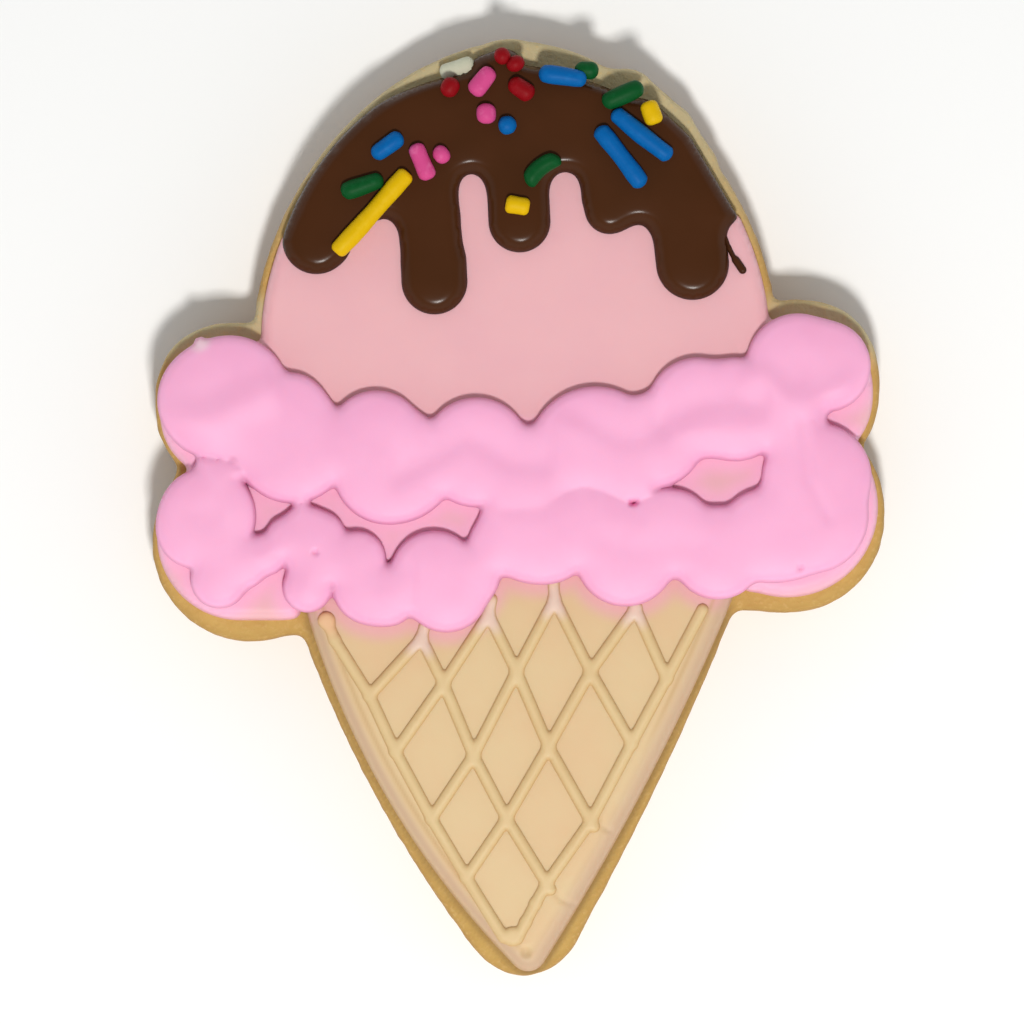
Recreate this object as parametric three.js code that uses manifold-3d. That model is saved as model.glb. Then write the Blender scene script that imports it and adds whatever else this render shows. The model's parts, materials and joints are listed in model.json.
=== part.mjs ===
// A decorated sugar cookie in the shape of an ice cream cone, lying flat with its iced side up.
//
// Millimetres. X runs to the right, Y from the tip of the cone to the top of the scoop, Z up.
// The origin is at the bottom centre of the whole cookie, on the surface it lies on.
//
// The cookie is a baked biscuit with royal icing on it in layers: a pale pink flood under the
// scoop, a tan flood on the cone, a piped waffle net on the tan, a dark drip with sugar strands
// on the scoop, and a thick pink ruffle piped over the join of scoop and cone.
//
// Each outline is a field: a function of (x, y) that gives the distance from the outline in
// millimetres, below zero inside it. Fields are joined and cut, then meshed and built up.

import * as THREE from "three";
import { mergeVertices } from "three/addons/utils/BufferGeometryUtils.js";
import Module from "manifold-3d";

const wasm = await Module();
wasm.setup();

// ---------------------------------------------------------------- driving dimensions

const BISCUIT_THICKNESS = 7.0;
const ICING_THICKNESS = 1.5;
const CHOCOLATE_THICKNESS = 1.3;
const RUFFLE_HEIGHT = 2.3;
const LATTICE_HEIGHT = 0.55;
const LATTICE_BEAD = 1.5;
const STRAND_DIAMETER = 1.8;
const STRAND_SUNK = 0.5; // how deep a sugar strand sits in the drip
const ICING_GAP = 0.3; // between two icings that meet side by side

const ICING_FLOOR = BISCUIT_THICKNESS;
const ICING_TOP = ICING_FLOOR + ICING_THICKNESS;
const CHOCOLATE_TOP = ICING_TOP + CHOCOLATE_THICKNESS;

const TRACE_STEP = 0.6; // grid that finds an outline
const OUTLINE_TOLERANCE = 0.05; // how far a straight stretch may leave its curve
const SHORTEST_EDGE = 0.2;
const RUFFLE_STEP = 1.4; // spacing of the points on the ruffle's lumpy top

// ---------------------------------------------------------------- fields

const clamp = (value, low, high) => Math.min(Math.max(value, low), high);

/** A round outline. */
const disc = (x, y, radius) => (px, py) => Math.hypot(px - x, py - y) - radius;

/** A round-ended bar from (x1, y1) to (x2, y2). */
const bar = (x1, y1, x2, y2, radius) => (px, py) => {
  const ax = x2 - x1;
  const ay = y2 - y1;
  const along = clamp(((px - x1) * ax + (py - y1) * ay) / (ax * ax + ay * ay), 0, 1);
  return Math.hypot(px - x1 - along * ax, py - y1 - along * ay) - radius;
};

/** Everything behind the line through (x, y) whose outward normal stands at an angle. */
const behindLine = (x, y, degrees) => {
  const angle = THREE.MathUtils.degToRad(degrees);
  return (px, py) => (px - x) * Math.cos(angle) + (py - y) * Math.sin(angle);
};

/** The disc whose edge runs through three points, for a side with a slight bulge. */
const arcThrough = ([x1, y1], [x2, y2], [x3, y3]) => {
  const d = 2 * (x1 * (y2 - y3) + x2 * (y3 - y1) + x3 * (y1 - y2));
  const [s1, s2, s3] = [x1 * x1 + y1 * y1, x2 * x2 + y2 * y2, x3 * x3 + y3 * y3];
  const cx = (s1 * (y2 - y3) + s2 * (y3 - y1) + s3 * (y1 - y2)) / d;
  const cy = (s1 * (x3 - x2) + s2 * (x1 - x3) + s3 * (x2 - x1)) / d;
  return disc(cx, cy, Math.hypot(x1 - cx, y1 - cy));
};

/** The slope of a field at a point. */
function slopeOf(field, px, py) {
  const e = 0.02;
  return [
    (field(px + e, py) - field(px - e, py)) / (2 * e),
    (field(px, py + e) - field(px, py - e)) / (2 * e),
  ];
}

/** An ellipse whose power sets its fullness: above 2 it is squarer, below 2 more pointed. */
function superEllipse(x, y, halfWidth, halfHeight, power) {
  const raw = (px, py) => {
    const u = Math.abs((px - x) / halfWidth) ** power;
    const v = Math.abs((py - y) / halfHeight) ** power;
    return (u + v) ** (1 / power) - 1;
  };
  return (px, py) => raw(px, py) / Math.max(Math.hypot(...slopeOf(raw, px, py)), 1e-3);
}

/** Joins fields; the corner where two meet is filled over about blend millimetres. */
const join = (blend, ...fields) => (px, py) => {
  let result = Infinity;
  for (const field of fields) {
    const value = field(px, py);
    const near = Math.max(blend - Math.abs(result - value), 0) / blend;
    result = Math.min(result, value) - (near * near * blend) / 4;
  }
  return result;
};

/** Keeps what lies inside every field, with its corners rounded to a radius. */
const common = (radius, ...fields) => (px, py) => {
  let result = -Infinity;
  for (const field of fields) {
    const value = field(px, py);
    const outside = Math.hypot(Math.max(result + radius, 0), Math.max(value + radius, 0));
    result = outside > 0 ? outside - radius : Math.max(result, value);
  }
  return result;
};

/** Takes the tool out of a field. */
const cutBy = (radius, field, tool) => common(radius, field, (px, py) => -tool(px, py));

/** Draws an outline in by a distance, or out by a distance below zero. */
const inset = (field, distance) => (px, py) => field(px, py) + distance;

// ---------------------------------------------------------------- meshes from fields

/** Moves a point along the slope until the field has the wanted value there. */
function slideTo(field, [x, y], value) {
  for (let i = 0; i < 20; i++) {
    const miss = field(x, y) - value;
    if (Math.abs(miss) < 1e-5) break;
    const [gx, gy] = slopeOf(field, x, y);
    const steep = Math.max(gx * gx + gy * gy, 0.1);
    const step = clamp(miss, -0.2, 0.2) / steep;
    x -= step * gx;
    y -= step * gy;
  }
  return [x, y];
}

/**
 * Covers the inside of a field with triangles on a grid, trimmed along its outline. A grid point
 * close to the outline is moved onto it, so that no sliver is left beside it.
 */
function meshRegion(field, box, spacing) {
  const points = [];
  const triangles = [];
  const named = new Map();
  const close = 0.22 * spacing;
  const rowHeight = (spacing * Math.sqrt(3)) / 2;
  const columns = Math.ceil((box.right - box.left) / spacing) + 1;
  const rows = Math.ceil((box.top - box.bottom) / rowHeight);
  const place = (i, j) => [box.left + (i + (j % 2) / 2 - 0.5) * spacing, box.bottom + j * rowHeight];
  const remember = (store, key, make) => {
    if (!store.has(key)) store.set(key, make());
    return store.get(key);
  };
  const values = new Map();
  const valueAt = (i, j) => remember(values, `${i},${j}`, () => field(...place(i, j)));
  const gridPoint = (i, j) => remember(named, `${i},${j}`, () => {
    const here = place(i, j);
    const near = Math.abs(valueAt(i, j)) < close;
    const [x, y] = near ? slideTo(field, here, 0) : here;
    const strayed = Math.hypot(x - here[0], y - here[1]) > 0.4 * spacing;
    return points.push(strayed ? here : [x, y]) - 1;
  });
  const edgePoint = (a, b) => remember(named, [a, b].map(String).sort().join("|"), () => {
    let [inner, outer] = valueAt(...a) < 0 ? [place(...a), place(...b)] : [place(...b), place(...a)];
    for (let i = 0; i < 24; i++) {
      const middle = [(inner[0] + outer[0]) / 2, (inner[1] + outer[1]) / 2];
      if (field(...middle) < 0) inner = middle;
      else outer = middle;
    }
    return points.push(inner) - 1;
  });
  const trim = (corners) => {
    const signed = corners.map(([i, j]) => valueAt(i, j));
    if (Math.min(...signed) > -close) return;
    const polygon = [];
    for (let k = 0; k < 3; k++) {
      const m = (k + 1) % 3;
      if (signed[k] < close) polygon.push(gridPoint(...corners[k]));
      const crosses = signed[k] * signed[m] < 0;
      if (crosses && Math.min(Math.abs(signed[k]), Math.abs(signed[m])) >= close) {
        polygon.push(edgePoint(corners[k], corners[m]));
      }
    }
    for (let k = 2; k < polygon.length; k++) {
      triangles.push([polygon[0], polygon[k - 1], polygon[k]]);
    }
  };
  for (let j = 0; j < rows; j++) {
    const lean = j % 2;
    for (let i = 0; i < columns; i++) {
      trim([[i, j], [i + 1, j], [i + lean, j + 1]]);
      trim([[i + 1, j], [i + 1 + lean, j + 1], [i + lean, j + 1]]);
    }
  }
  return withoutPinches({ points, triangles });
}

/** Parts the triangles that meet in nothing but one point, each fan with a point of its own. */
function withoutPinches({ points, triangles }) {
  const around = points.map(() => []);
  for (const triangle of triangles) for (const corner of triangle) around[corner].push(triangle);
  around.forEach((loose, corner) => {
    while (loose.length) {
      const fan = [loose.pop()];
      for (const member of fan) {
        for (let k = loose.length - 1; k >= 0; k--) {
          const shared = loose[k].filter((point) => member.includes(point)).length;
          if (shared > 1) fan.push(...loose.splice(k, 1));
        }
      }
      if (!loose.length) break;
      const centre = [0, 1].map((axis) =>
        fan.flat().reduce((sum, point) => sum + points[point][axis], 0) / (3 * fan.length));
      const own = points.push(points[corner].map((value, axis) => 0.85 * value + 0.15 * centre[axis])) - 1;
      for (const triangle of fan) triangle[triangle.indexOf(corner)] = own;
    }
  });
  return { points, triangles };
}

/** The closed rims of a flat mesh: anticlockwise round it, clockwise round its holes. */
function rimsOf({ triangles }) {
  const edges = new Set();
  for (const [a, b, c] of triangles) {
    for (const [p, q] of [[a, b], [b, c], [c, a]]) edges.add(`${p},${q}`);
  }
  const following = new Map();
  for (const edge of edges) {
    const [p, q] = edge.split(",").map(Number);
    if (!edges.has(`${q},${p}`)) following.set(p, q);
  }
  const rims = [];
  while (following.size) {
    const rim = [];
    let at = following.keys().next().value;
    while (following.has(at)) {
      rim.push(at);
      const then = following.get(at);
      following.delete(at);
      at = then;
    }
    rims.push(rim);
  }
  return rims;
}

/** Drops the points of an open run that lie within the tolerance of a straight line. */
function straightened(run, tolerance) {
  const [first, last] = [run[0], run[run.length - 1]];
  const [dx, dy] = [last[0] - first[0], last[1] - first[1]];
  const length = Math.hypot(dx, dy) || 1;
  let worst = 0;
  let split = 0;
  for (let i = 1; i < run.length - 1; i++) {
    const off = Math.abs((run[i][0] - first[0]) * dy - (run[i][1] - first[1]) * dx) / length;
    if (off > worst) [worst, split] = [off, i];
  }
  if (worst <= tolerance) return [first, last];
  const head = straightened(run.slice(0, split + 1), tolerance);
  return [...head.slice(0, -1), ...straightened(run.slice(split), tolerance)];
}

/** The outlines of a field as closed lists of points, with only the points they need. */
function outlinesOf(field, box) {
  const mesh = meshRegion(field, box, TRACE_STEP);
  return rimsOf(mesh).map((rim) => {
    const loop = rim.map((index) => mesh.points[index]);
    const half = Math.floor(loop.length / 2);
    const there = straightened(loop.slice(0, half + 1), OUTLINE_TOLERANCE);
    const back = straightened([...loop.slice(half), loop[0]], OUTLINE_TOLERANCE);
    const kept = [...there.slice(0, -1), ...back.slice(0, -1)];
    return kept.filter(([x, y], i) => {
      const [nx, ny] = kept[(i + 1) % kept.length];
      return Math.hypot(nx - x, ny - y) > SHORTEST_EDGE;
    });
  });
}

/** A geometry from points and triangles of point numbers. */
function geometryOf(points, triangles) {
  const geometry = new THREE.BufferGeometry();
  geometry.setAttribute("position", new THREE.Float32BufferAttribute(points.flat(), 3));
  geometry.setIndex(triangles.flat());
  return geometry;
}

/** Flat triangles over closed outlines, the first of which goes round the others. */
function flatCap(loops) {
  const [outer, ...holes] = loops.map((loop) => loop.map(([x, y]) => new THREE.Vector2(x, y)));
  return THREE.ShapeUtils.triangulateShape(outer, holes);
}

const areaOf = (loop) => THREE.ShapeUtils.area(loop.map(([x, y]) => new THREE.Vector2(x, y)));

/** Sorts outlines so that the one round the outside comes first. */
const outerFirst = (loops) => [...loops].sort((a, b) => areaOf(b) - areaOf(a));

/**
 * A slab with a shaped edge. The profile lists [inset, height] from its floor up: each pair is
 * a ring that follows the outline, drawn in by the inset.
 */
function slab(field, box, profile) {
  const loops = outerFirst(outlinesOf(field, box));
  const outline = loops.flat();
  const points = [];
  const triangles = [];
  let ring = outline;
  let drawnIn = 0;
  for (const [distance, height] of profile) {
    // The ring moves in short steps, so that its points never cross.
    const steps = Math.max(1, Math.ceil(Math.abs(distance - drawnIn) / 0.2));
    for (let s = 1; s <= steps; s++) {
      const target = drawnIn + ((distance - drawnIn) * s) / steps;
      ring = ring.map((point) => slideTo(field, point, -target));
    }
    drawnIn = distance;
    points.push(...ring.map(([x, y]) => [x, y, height]));
  }
  const count = outline.length;
  for (let level = 1; level < profile.length; level++) {
    const [below, above] = [(level - 1) * count, level * count];
    let start = 0;
    for (const loop of loops) {
      for (let i = 0; i < loop.length; i++) {
        const a = start + i;
        const b = start + ((i + 1) % loop.length);
        triangles.push([below + a, below + b, above + b], [below + a, above + b, above + a]);
      }
      start += loop.length;
    }
  }
  const regroup = (level) => {
    let start = level * count;
    return loops.map((loop) => points.slice(start, (start += loop.length)));
  };
  const top = (profile.length - 1) * count;
  for (const [a, b, c] of flatCap(regroup(0))) triangles.push([a, c, b]);
  for (const [a, b, c] of flatCap(regroup(profile.length - 1))) {
    triangles.push([top + a, top + b, top + c]);
  }
  return geometryOf(points, triangles);
}

/** A piece with a flat floor, a low wall round it and a top whose height is a function. */
function mound(field, box, spacing, floor, heightAt) {
  const mesh = meshRegion(field, box, spacing);
  const points = mesh.points.map(([x, y]) => [x, y, heightAt(x, y)]);
  const triangles = [...mesh.triangles];
  const rims = rimsOf(mesh).sort((a, b) => b.length - a.length);
  const floorOf = new Map();
  for (const index of rims.flat()) {
    const [x, y] = mesh.points[index];
    floorOf.set(index, points.push([x, y, floor]) - 1);
  }
  for (const rim of rims) {
    rim.forEach((a, i) => {
      const b = rim[(i + 1) % rim.length];
      triangles.push([floorOf.get(a), floorOf.get(b), b], [floorOf.get(a), b, a]);
    });
  }
  const order = rims.flat();
  for (const [a, b, c] of flatCap(rims.map((rim) => rim.map((index) => mesh.points[index])))) {
    triangles.push([floorOf.get(order[a]), floorOf.get(order[c]), floorOf.get(order[b])]);
  }
  return geometryOf(points, triangles);
}

// ---------------------------------------------------------------- solid joins

/** A closed geometry as a solid that can be joined. */
function solidOf(geometry) {
  const bare = geometry.clone();
  bare.deleteAttribute("normal");
  bare.deleteAttribute("uv");
  const merged = mergeVertices(bare, 1e-4);
  return new wasm.Manifold(new wasm.Mesh({
    numProp: 3,
    vertProperties: merged.attributes.position.array,
    triVerts: new Uint32Array(merged.index.array),
  }));
}

/** Fuses pieces into the first one and gives one geometry back. */
function fuse(base, pieces) {
  let solid = solidOf(base);
  for (const piece of pieces) solid = solid.add(solidOf(piece));
  const { numProp, vertProperties, triVerts } = solid.getMesh();
  const geometry = new THREE.BufferGeometry();
  const position = new Float32Array((vertProperties.length / numProp) * 3);
  for (let i = 0; i < position.length / 3; i++) {
    position.set(vertProperties.subarray(i * numProp, i * numProp + 3), i * 3);
  }
  geometry.setAttribute("position", new THREE.BufferAttribute(position, 3));
  geometry.setIndex(new THREE.BufferAttribute(triVerts, 1));
  return geometry;
}

// ---------------------------------------------------------------- outlines of the cookie

const COOKIE_BOX = { left: -39, right: 39, bottom: -49, top: 49 };

/** The cutter's shape: a scoop, two round lobes on each side and a cone with bulging sides. */
const cone = common(
  4.2,
  arcThrough([-20.9, -14.8], [-14.8, -28.2], [-5.3, -43.2]),
  arcThrough([19.8, -14.8], [13.8, -28.2], [6.0, -43.2]),
  behindLine(0, -4, 90),
  behindLine(0, -47.0, -90),
);
const scoop = superEllipse(-0.3, 17.3, 26.3, 29.6, 1.8);
const lobes = [
  superEllipse(-28.3, 10.5, 8.2, 8.1, 2.3), // left, upper
  disc(-26.8, -3.5, 10.0), // left, lower
  superEllipse(27.9, 12.2, 8.4, 8.7, 2.3), // right, upper
  superEllipse(26.8, -0.6, 10.0, 10.0, 2.1), // right, lower
];
const waist = join(0.5, bar(-18, 3, -10, 3, 16.2), bar(10, 3, 20.4, 3, 13.5));
// The biscuit spread unevenly in the oven along its top edge.
const topCrest = disc(-1.2, 44.35, 2.5);
const rightShoulder = join(0.5, bar(10.9, 41.2, 14.9, 37.6, 2.9), bar(14.9, 37.6, 17.0, 34.4, 2.8));
const topNick = disc(9.0, 46.1, 1.4);
const coneTip = disc(0.5, -41.5, 5.5);
const outline = cutBy(
  0.8,
  join(1.0, cone, coneTip, scoop, waist, ...lobes, topCrest, rightShoulder),
  topNick,
);

// ---------------------------------------------------------------- the parts

const biscuit = () => slab(outline, COOKIE_BOX, [
  [0.8, 0],
  [0.2, 0.5],
  [0, 1.7],
  [0, 5.4],
  [0.15, 6.5],
  [0.5, BISCUIT_THICKNESS],
]);

/** The rounded edge of a flood of icing, from its floor to its flat top. */
const floodEdge = (floor, top) => {
  const height = top - floor;
  return [[0, floor], [0, floor + height * 0.45], [0.22, floor + height * 0.82], [0.8, top]];
};

const coneIcing = common(
  2.4,
  arcThrough([-21.2, -10.6], [-13.1, -29.2], [-2.9, -43.2]),
  arcThrough([21.4, -9.2], [11.8, -29.2], [3.2, -44.2]),
  behindLine(0, -6.6, 90),
);
// The dark icing stops short of the biscuit's edge: an oval with a fuller shoulder on its right,
// a flatter stretch on its left and a crest at the top.
const dripRim = join(
  0.8,
  common(2.0, superEllipse(-0.4, 17.3, 24.5, 27.2, 2), behindLine(-8.0, 43.1, 103)),
  bar(12.0, 38.0, 14.9, 35.2, 3.1),
  bar(14.9, 35.2, 16.9, 32.6, 3.0),
  disc(-1.4, 43.1, 2.7),
);
const scoopIcing = join(
  0.4,
  common(1.0, inset(join(0.5, scoop, rightShoulder), 0.85), behindLine(0, 28, 90)),
  inset(dripRim, -0.35),
);
const baseIcing = cutBy(
  1.2,
  join(
    1.0,
    scoopIcing,
    bar(-20, 3, 20, 3, 11.6),
    superEllipse(-28.3, 10.5, 7.6, 7.4, 2.2),
    bar(-27.8, -2.9, -24, -2.9, 8.4),
    superEllipse(27.9, 12.4, 7.7, 7.8, 2.2),
    disc(26.9, 0.1, 9.1),
  ),
  inset(coneIcing, -ICING_GAP),
);

// ---------------------------------------------------------------- the dark drip

/** Each run of the drip: its middle line from the cap down to its round end, and half width. */
const DRIP_RUNS = [
  { from: [-15.0, 31.8], to: [-20.1, 26.8], radius: 3.5 },
  { from: [-9.2, 33.0], to: [-8.4, 22.6], radius: 3.35 },
  { from: [-0.1, 33.0], to: [0.1, 28.6], radius: 3.1 },
  { from: [9.2, 31.0], to: [8.8, 29.4], radius: 2.2 },
  { from: [17.0, 28.0], to: [17.4, 24.4], radius: 3.7 },
];
const capStop = 33.7; // how high the gaps between the runs reach
const capShoulderRight = common(1.0, dripRim, behindLine(6.9, 28, 180), behindLine(0, 28.3, -90));
const capShoulderLeft = common(1.0, dripRim, behindLine(-12.0, 28, 0), behindLine(0, 29.2, -90));
const drip = common(
  0.9,
  dripRim,
  join(
    1.5,
    behindLine(0, capStop, -90),
    capShoulderRight,
    capShoulderLeft,
    ...DRIP_RUNS.map(({ from, to, radius }) => bar(...from, ...to, radius)),
  ),
);
const DRIP_TAIL = { at: [21.4, 25.7], length: 4.4, degrees: -62, radius: 0.3 };

/** Sugar strands on the drip: their middle, length, the way they point and how thick they are. */
const STRANDS = [
  { at: [-1.6, 45.0], length: 1.6, degrees: 20 },
  { at: [-0.3, 44.3], length: 1.6, degrees: 120 },
  { at: [-3.6, 42.5], length: 3.2, degrees: 50 },
  { at: [-6.8, 41.9], length: 2.0, degrees: 60 },
  { at: [0.3, 41.8], length: 2.8, degrees: -35 },
  { at: [4.4, 43.0], length: 4.8, degrees: -8 },
  { at: [7.0, 43.5], length: 2.4, degrees: -10, sunk: 0.8 },
  { at: [10.4, 41.2], length: 4.4, degrees: 25 },
  { at: [13.3, 39.4], length: 2.4, degrees: -70 },
  { at: [12.3, 37.2], length: 7.4, degrees: -38 },
  { at: [10.2, 35.0], length: 7.4, degrees: -52 },
  { at: [-3.2, 39.3], length: 2.0, degrees: 90 },
  { at: [-1.1, 38.1], length: 1.8, degrees: 10 },
  { at: [-13.1, 36.1], length: 3.6, degrees: 35 },
  { at: [-15.6, 32.1], length: 4.4, degrees: 20 },
  { at: [-14.6, 29.4], length: 10.8, degrees: 48 },
  { at: [-9.6, 34.5], length: 3.8, degrees: -68 },
  { at: [-7.7, 35.2], length: 1.6, degrees: 40 },
  { at: [2.2, 33.9], length: 4.2, degrees: 40 },
  { at: [-0.1, 30.1], length: 2.4, degrees: -10 },
  { at: [-5.8, 43.5], length: 3.8, degrees: 15, sunk: 1.2 },
];

/** A round rod lying flat, with a few sides, its middle at a place and its floor at a height. */
function rod({ at: [x, y], length, degrees, radius, floor }) {
  const shape = new THREE.CylinderGeometry(radius, radius, length, 7);
  shape.rotateZ(THREE.MathUtils.degToRad(degrees - 90));
  return shape.translate(x, y, floor + radius);
}

/** One sugar strand, sunk a little into the drip. */
const strand = ({ sunk = STRAND_SUNK, ...place }) =>
  rod({ ...place, radius: STRAND_DIAMETER / 2, floor: CHOCOLATE_TOP - sunk });

/** The thin thread of icing that the last run of the drip leaves. */
const dripTail = () => rod({ ...DRIP_TAIL, floor: ICING_TOP });

const darkDrip = () => fuse(
  slab(drip, COOKIE_BOX, floodEdge(ICING_TOP, CHOCOLATE_TOP)),
  [dripTail(), ...STRANDS.map(strand)],
);

// ---------------------------------------------------------------- the pink ruffle

/** The lumps that the piping bag left, each [x, y, radius]: first the row next to the scoop. */
const UPPER_ROW = [
  [-29.9, 10.8, 5.9], [-28.8, 11.2, 6.0], [-30.4, 4.0, 1.9], // round end on the left
  [-22.9, 9.3, 4.2], [-22.6, 6.2, 5.8],
  [-14.2, 6.7, 5.0], [-13.1, 3.8, 5.5], [-11.8, 4.2, 5.5],
  [-4.2, 5.5, 5.5],
  [1.1, 3.2, 5.0],
  [7.7, 5.2, 6.9],
  [13.7, 6.8, 4.8],
  [17.9, 9.9, 5.1], [21.6, 9.8, 5.2],
  [27.9, 14.2, 5.2], [30.6, 14.1, 4.6], [26.6, 9.2, 4.2], // round end on the right
];
/** The row next to the cone, which turns back under the first row at both ends. */
const LOWER_ROW = [
  [-31.1, -0.9, 4.9], [-32.3, -2.2, 3.9], [-28.2, 3.6, 0.9], // round end on the left
  [-29.9, -7.2, 2.9], [-27.6, -5.5, 2.7], [-25.2, -4.7, 2.1],
  [-23.2, -3.0, 2.1], [-21.4, -1.9, 2.2], [-21.1, -5.2, 2.2], [-21.1, -8.0, 2.5],
  [-19.9, -3.0, 2.7], [-18.4, -5.2, 2.4], [-16.1, -5.2, 2.9],
  [-15.8, -8.4, 2.7], [-14.7, -8.9, 2.9], [-13.1, -8.9, 3.0],
  [-8.4, -6.8, 4.5], [-7.2, -8.2, 4.3], [-4.8, -6.8, 3.0], [-2.1, -3.8, 3.0],
  [1.1, -2.2, 5.2], [2.6, -2.5, 5.2],
  [10.7, -4.8, 5.1],
  [15.2, -2.6, 4.5],
  [19.9, -4.5, 4.7],
  [24.6, -2.8, 4.7], [26.6, -2.8, 4.6],
  [29.8, 3.0, 5.5], [29.2, -0.8, 5.8], // round end on the right
];
const ruffle = join(
  0.8,
  ...[...UPPER_ROW, ...LOWER_ROW].map(([x, y, radius]) => disc(x, y, radius)),
);

const LUMP_DEPTH = 0.2; // how far the top falls between two lumps, as a share of its height

/** The ruffle's top: a low wall that curves over to soft lumps. */
function ruffleHeight(x, y) {
  const rimWall = 0.6;
  const shoulder = 2.4; // how far in from its outline the ruffle reaches its full height
  const rise = clamp(-ruffle(x, y) / shoulder, 0, 1);
  const curve = Math.sqrt(1 - (1 - rise) ** 2);
  let dome = 0;
  for (const [cx, cy, radius] of [...UPPER_ROW, ...LOWER_ROW]) {
    const away = Math.hypot(x - cx, y - cy) / radius;
    dome = Math.max(dome, Math.sqrt(Math.max(1 - away * away, 0)));
  }
  const body = RUFFLE_HEIGHT - rimWall;
  return ICING_TOP + rimWall + body * curve * (1 - LUMP_DEPTH + LUMP_DEPTH * dome);
}

// ---------------------------------------------------------------- the waffle net

/** The places where the piped lines of the net cross, row by row down the cone. */
const NET = {
  a0: [-14.9, -18.8],
  a1: [-7.5, -17.6],
  a2: [-0.2, -16.4],
  a3: [7.2, -16.4],
  a4: [14.8, -17.1],
  b0: [-12.3, -24.4],
  b1: [-4.5, -24.8],
  b2: [3.0, -23.9],
  b3: [11.3, -23.6],
  c0: [-8.7, -31.1],
  c1: [-1.2, -31.1],
  c2: [7.2, -31.4],
  d0: [-5.2, -37.0],
  d1: [2.8, -37.6],
  e0: [-0.8, -42.5],
};
const { a0, a1, a2, a3, a4, b0, b1, b2, b3, c0, c1, c2, d0, d1, e0 } = NET;
const PIPED_LINES = [
  [[-19.2, -11.2], [-18.4, -13.2], a0, b0, c0, d0, e0],
  [[-9.7, -13.1], a1, b1, c1, d1, [4.7, -39.8]],
  [[-3.0, -10.7], a2, b2, c2, [8.6, -32.4]],
  [[3.6, -9.2], a3, b3],
  [[11.7, -10.1], a4],
  [a0, [-9.7, -13.1]],
  [b0, a1, [-3.0, -10.7]],
  [c0, b1, a2, [3.6, -9.2]],
  [d0, c1, b2, a3, [11.7, -10.1]],
  [[0.6, -44.4], [0.9, -41.8], [1.7, -39.6], d1, c2, b3, a4, [18.4, -10.2]],
];
const net = cutBy(
  0.5,
  join(
    0.5,
    ...PIPED_LINES.flatMap((line) =>
      line.slice(1).map((to, i) => bar(...line[i], ...to, LATTICE_BEAD / 2))),
  ),
  inset(ruffle, -ICING_GAP),
);
const waffleNet = () => slab(net, COOKIE_BOX, [
  [0, ICING_TOP],
  [0, ICING_TOP + LATTICE_HEIGHT * 0.55],
  [0.4, ICING_TOP + LATTICE_HEIGHT],
]);

// ---------------------------------------------------------------- the cookie

const PARTS = [
  { name: "cookie", geometry: biscuit(), color: 0xd2ab6b, roughness: 0.85 },
  {
    name: "base_icing",
    geometry: slab(baseIcing, COOKIE_BOX, floodEdge(ICING_FLOOR, ICING_TOP)),
    color: 0xe7b0b5,
    roughness: 0.6,
  },
  {
    name: "cone_icing",
    geometry: slab(coneIcing, COOKIE_BOX, floodEdge(ICING_FLOOR, ICING_TOP)),
    color: 0xe2c197,
    roughness: 0.65,
  },
  { name: "waffle_lattice", geometry: waffleNet(), color: 0xe4c592, roughness: 0.65 },
  { name: "chocolate_drip", geometry: darkDrip(), color: 0x482a19, roughness: 0.4 },
  {
    name: "ruffle",
    geometry: mound(ruffle, COOKIE_BOX, RUFFLE_STEP, ICING_TOP, ruffleHeight),
    color: 0xf6b3d4,
    roughness: 0.55,
  },
];

const decoratedCookie = new THREE.Group();
for (const { name, geometry, color, roughness } of PARTS) {
  const material = new THREE.MeshStandardMaterial({ color, roughness, metalness: 0 });
  const mesh = new THREE.Mesh(geometry, material);
  mesh.name = name;
  decoratedCookie.add(mesh);
}

export default decoratedCookie;
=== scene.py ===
"""A decorated sugar cookie in the shape of an ice cream cone, lying flat with its iced side up.

Sizes are millimetres until a mesh is written, which is in metres. X runs to the right, Y from the
tip of the cone to the top of the scoop, Z up. An outline is a field: a function of x and y that
gives the distance from the outline, below zero inside it.
"""

import json
import logging
import math
from dataclasses import dataclass, field
from enum import Enum
from typing import Callable, Sequence

import bpy
import numpy as np
from mathutils import Matrix, Vector
from mathutils.kdtree import KDTree

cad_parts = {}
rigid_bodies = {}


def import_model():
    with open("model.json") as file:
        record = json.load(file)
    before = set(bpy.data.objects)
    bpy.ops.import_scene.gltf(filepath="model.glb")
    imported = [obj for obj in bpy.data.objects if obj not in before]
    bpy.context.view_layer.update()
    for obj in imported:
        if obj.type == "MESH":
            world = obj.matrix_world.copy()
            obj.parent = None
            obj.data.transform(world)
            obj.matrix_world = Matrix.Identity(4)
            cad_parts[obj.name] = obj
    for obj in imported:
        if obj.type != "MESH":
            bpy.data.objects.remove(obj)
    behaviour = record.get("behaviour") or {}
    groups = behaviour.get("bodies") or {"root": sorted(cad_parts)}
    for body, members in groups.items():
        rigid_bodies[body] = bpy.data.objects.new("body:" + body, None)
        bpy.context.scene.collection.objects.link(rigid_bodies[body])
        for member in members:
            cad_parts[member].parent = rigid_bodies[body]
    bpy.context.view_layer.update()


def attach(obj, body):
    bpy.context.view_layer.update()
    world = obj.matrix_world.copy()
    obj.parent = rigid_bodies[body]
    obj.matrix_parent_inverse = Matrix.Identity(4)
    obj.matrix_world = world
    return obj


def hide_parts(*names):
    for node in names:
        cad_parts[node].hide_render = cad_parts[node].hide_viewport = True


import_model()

LOG = logging.getLogger("cookie")
MM = 0.001
# Points that are closer than this, in metres, are one.
SAME_PLACE = 0.001 * MM
BODY = "root"
BISCUIT_TOP = 7.0
ICING_TOP = 8.5
DARK_TOP = 9.8

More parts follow.
